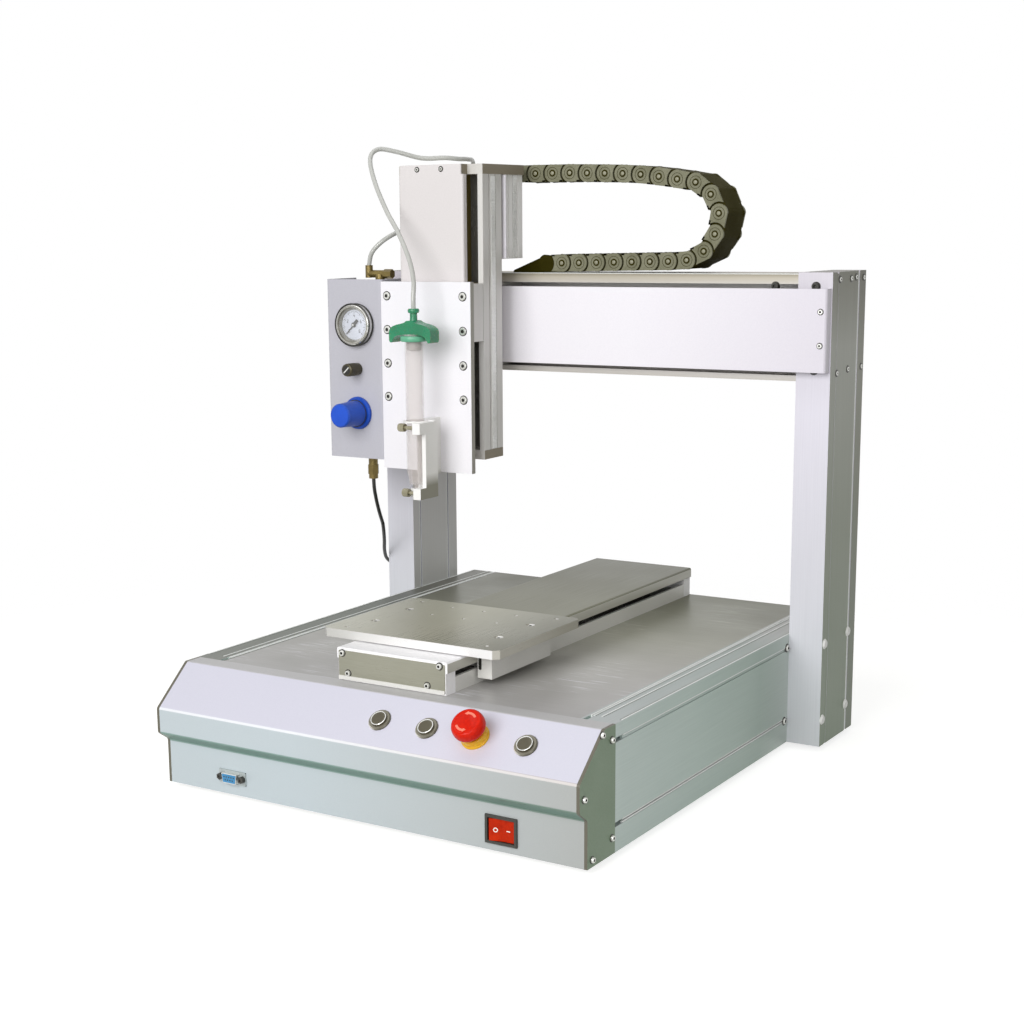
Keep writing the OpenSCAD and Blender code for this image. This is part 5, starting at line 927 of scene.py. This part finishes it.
WORN, DARK, PALE = range(3)
flap = [(r * math.cos(math.radians(t)), r * math.sin(math.radians(t)))
        for r, sweep in ((8.8, range(40, 141, 20)), (7.2, range(140, 39, -20))) for t in sweep]
bm = bmesh.new()
for pin, a in zip(pins, headings):
    place = Matrix.Translation(pin * MM) @ Matrix.Rotation(-a, 4, "Y")
    for s in (-1, 1):
        cheek(bm, place, 0, PITCH, s * OUTSIDE, s * (OUTSIDE - CHEEK), CHEEK_GAP, WORN)
        # The inner cheek, olive black, is painted shade in the gap between links.
        cheek(bm, place, PITCH, 0, s * (OUTSIDE - CHEEK - 0.3), s * INSIDE, HIDDEN_GAP, DARK)
        pin_end = place @ laid((0, s * OUTSIDE, 0), (0, s, 0), UP)
        turned(bm, [(3.6, -0.2), (3.6, 0.12), (2.0, 0.12)], pin_end, 24, paint=DARK)
        turned(bm, [(2.0, 0.0), (2.0, 0.5), (1.5, 0.8), (0, 0.9)], pin_end, 20, paint=PALE)
        turned(bm, [(5.9, -0.2), (5.9, 0.15), (6.3, 0.15), (6.3, -0.2)], pin_end, 28, paint=DARK)
    # Two cover plates over the cables, a flap round the pin and a cross bar under them close each link.
    drawn(bm, rounded(PITCH - 1.2, 40, 0.6), place @ laid((PITCH / 2, 0, 7.1), UP, RIGHT), 1.7, DARK)
    drawn(bm, rounded(PITCH + 6, 36, 0.6), place @ laid((PITCH / 2, 0, 6.2), UP, RIGHT), 0.8, DARK)
    drawn(bm, flap, place @ laid((0, 20, 0), FRONT, RIGHT), 40, DARK)
    drawn(bm, rounded(5, 2 * OUTSIDE, 0.6), place @ laid((PITCH / 2, 0, -8.8), UP, RIGHT), 1.8, DARK)
chain = new_piece("chain_links", bm, [cheek_nylon, chain_nylon, pin_nylon], None)
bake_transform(chain)
# Each point is sorted by where it lies, past the bend, on the upper run or on the lower run, and is left
# where it is.
first, last, bend = pins[0].x, pins[-1].x, pins[BEND_PIN].x
for vert in chain.data.vertices:
    x, z = vert.co.x / MM, vert.co.z / MM
    if x > bend:
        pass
    elif z > BETWEEN_RUNS_Z:
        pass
    else:
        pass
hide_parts("cable_chain")


# Air lines: a clear polyurethane tube from the valve block over the head to the syringe, and a black
# supply hose from the panel down to the base. Both are drawn tube, and push-in fittings hold their ends.
def curve(points, steps):
    """A smooth line through points, Catmull-Rom."""
    line = []
    ends = [points[0]] + points + [points[-1]]
    for a, b, c, d in zip(ends, ends[1:], ends[2:], ends[3:]):
        for k in range(steps):
            t = k / steps
            bend = (2 * a - 5 * b + 4 * c - d) * t * t + (3 * b - a - 3 * c + d) * t ** 3
            line.append(0.5 * (2 * b + (c - a) * t + bend))
    return line + [points[-1]]


ROUND = 16  # sides of a tube


def hose(name, route, r, bore, material):
    """A tube with a bore along a route in mm. Returns it with its centreline and length in metres."""
    path = curve([Vector(p) * MM for p in route], 5)
    bm = bmesh.new()
    up = Vector((0.3, 1, 0.2))
    skins = []
    for i, p in enumerate(path):
        along = (path[min(i + 1, len(path) - 1)] - path[max(i - 1, 0)]).normalized()
        up = (up - along * up.dot(along)).normalized()
        across = along.cross(up)
        skins.append([[bm.verts.new(p + (up * math.cos(a) + across * math.sin(a)) * size * MM)
                       for a in (math.tau * k / ROUND for k in range(ROUND))] for size in (r, bore)])
    for a, b in zip(skins, skins[1:]):
        for s in (0, 1):
            for k in range(ROUND):
                bm.faces.new((a[s][k - 1], a[s][k], b[s][k], b[s][k - 1]))
    for end in (skins[0], skins[-1]):
        for k in range(ROUND):
            bm.faces.new((end[0][k - 1], end[0][k], end[1][k], end[1][k - 1]))
    made = new_piece(name, bm, [material], None, sharp=60)
    length = sum((b - a).length for a, b in zip(path, path[1:]))
    return made, path, length


# Clear tube is pale and glossy, and nearly hides what is behind it; black hose has a dull, even shine.
clear_tube = finish("clear_polyurethane_tube", "CFD0CB", "C3C4BF", 0.14, grain=30, cloud=40, bump=0.0,
                    Alpha=0.8, Coat_Weight=0.6)
black_hose = finish("black_polyurethane_hose", "242422", "1A1A18", 0.38, grain=1, cloud=40, bump=0.05)
tube_route = [(-125, 6, 438), (-125, 6, 450), (-127, 10, 465), (-136, 16, 486), (-154, 24, 512),
              (-173, 31, 534), (-194, 41, 563), (-208, 53, 587), (-206, 64, 597), (-193, 76, 595),
              (-172, 94, 588), (-152, 108, 588), (-144, 122, 587), (-143, 138, 587), (-147, 154, 585),
              (-153, 164, 569), (-162, 168, 553), (-174, 166, 539), (-187, 157, 529), (-196, 142, 522),
              (-200, 122, 518), (-200, 102, 515), (-203, 86, 511), (-212, 76, 503), (-222, 72, 492),
              (-226, 72, 479)]
upper_route = [(-226, 72, 252), (-226, 73, 240), (-227, 78, 226), (-230, 87, 212), (-234, 98, 199)]
lower_route = [(-234, 98.5, 198), (-239, 107, 187), (-247, 119, 174), (-257, 133, 160), (-265, 149, 147),
               (-268, 171, 136), (-267, 195, 128), (-265, 220, 121), (-262, 238, 112), (-254, 250, 100),
               (-247, 253, 88), (-246, 253, 78)]
tube, path, length = hose("clear_air_tube", tube_route, 2.4, 1.5, clear_tube)
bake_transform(tube)
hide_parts("air_tube")
upper, path, length = hose("supply_hose_upper", upper_route, 2, 1.2, black_hose)
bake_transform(upper)
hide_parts("air_hose_upper")
lower, path, length = hose("supply_hose_lower", lower_route, 2, 1.2, black_hose)
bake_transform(lower)
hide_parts("air_hose_lower")
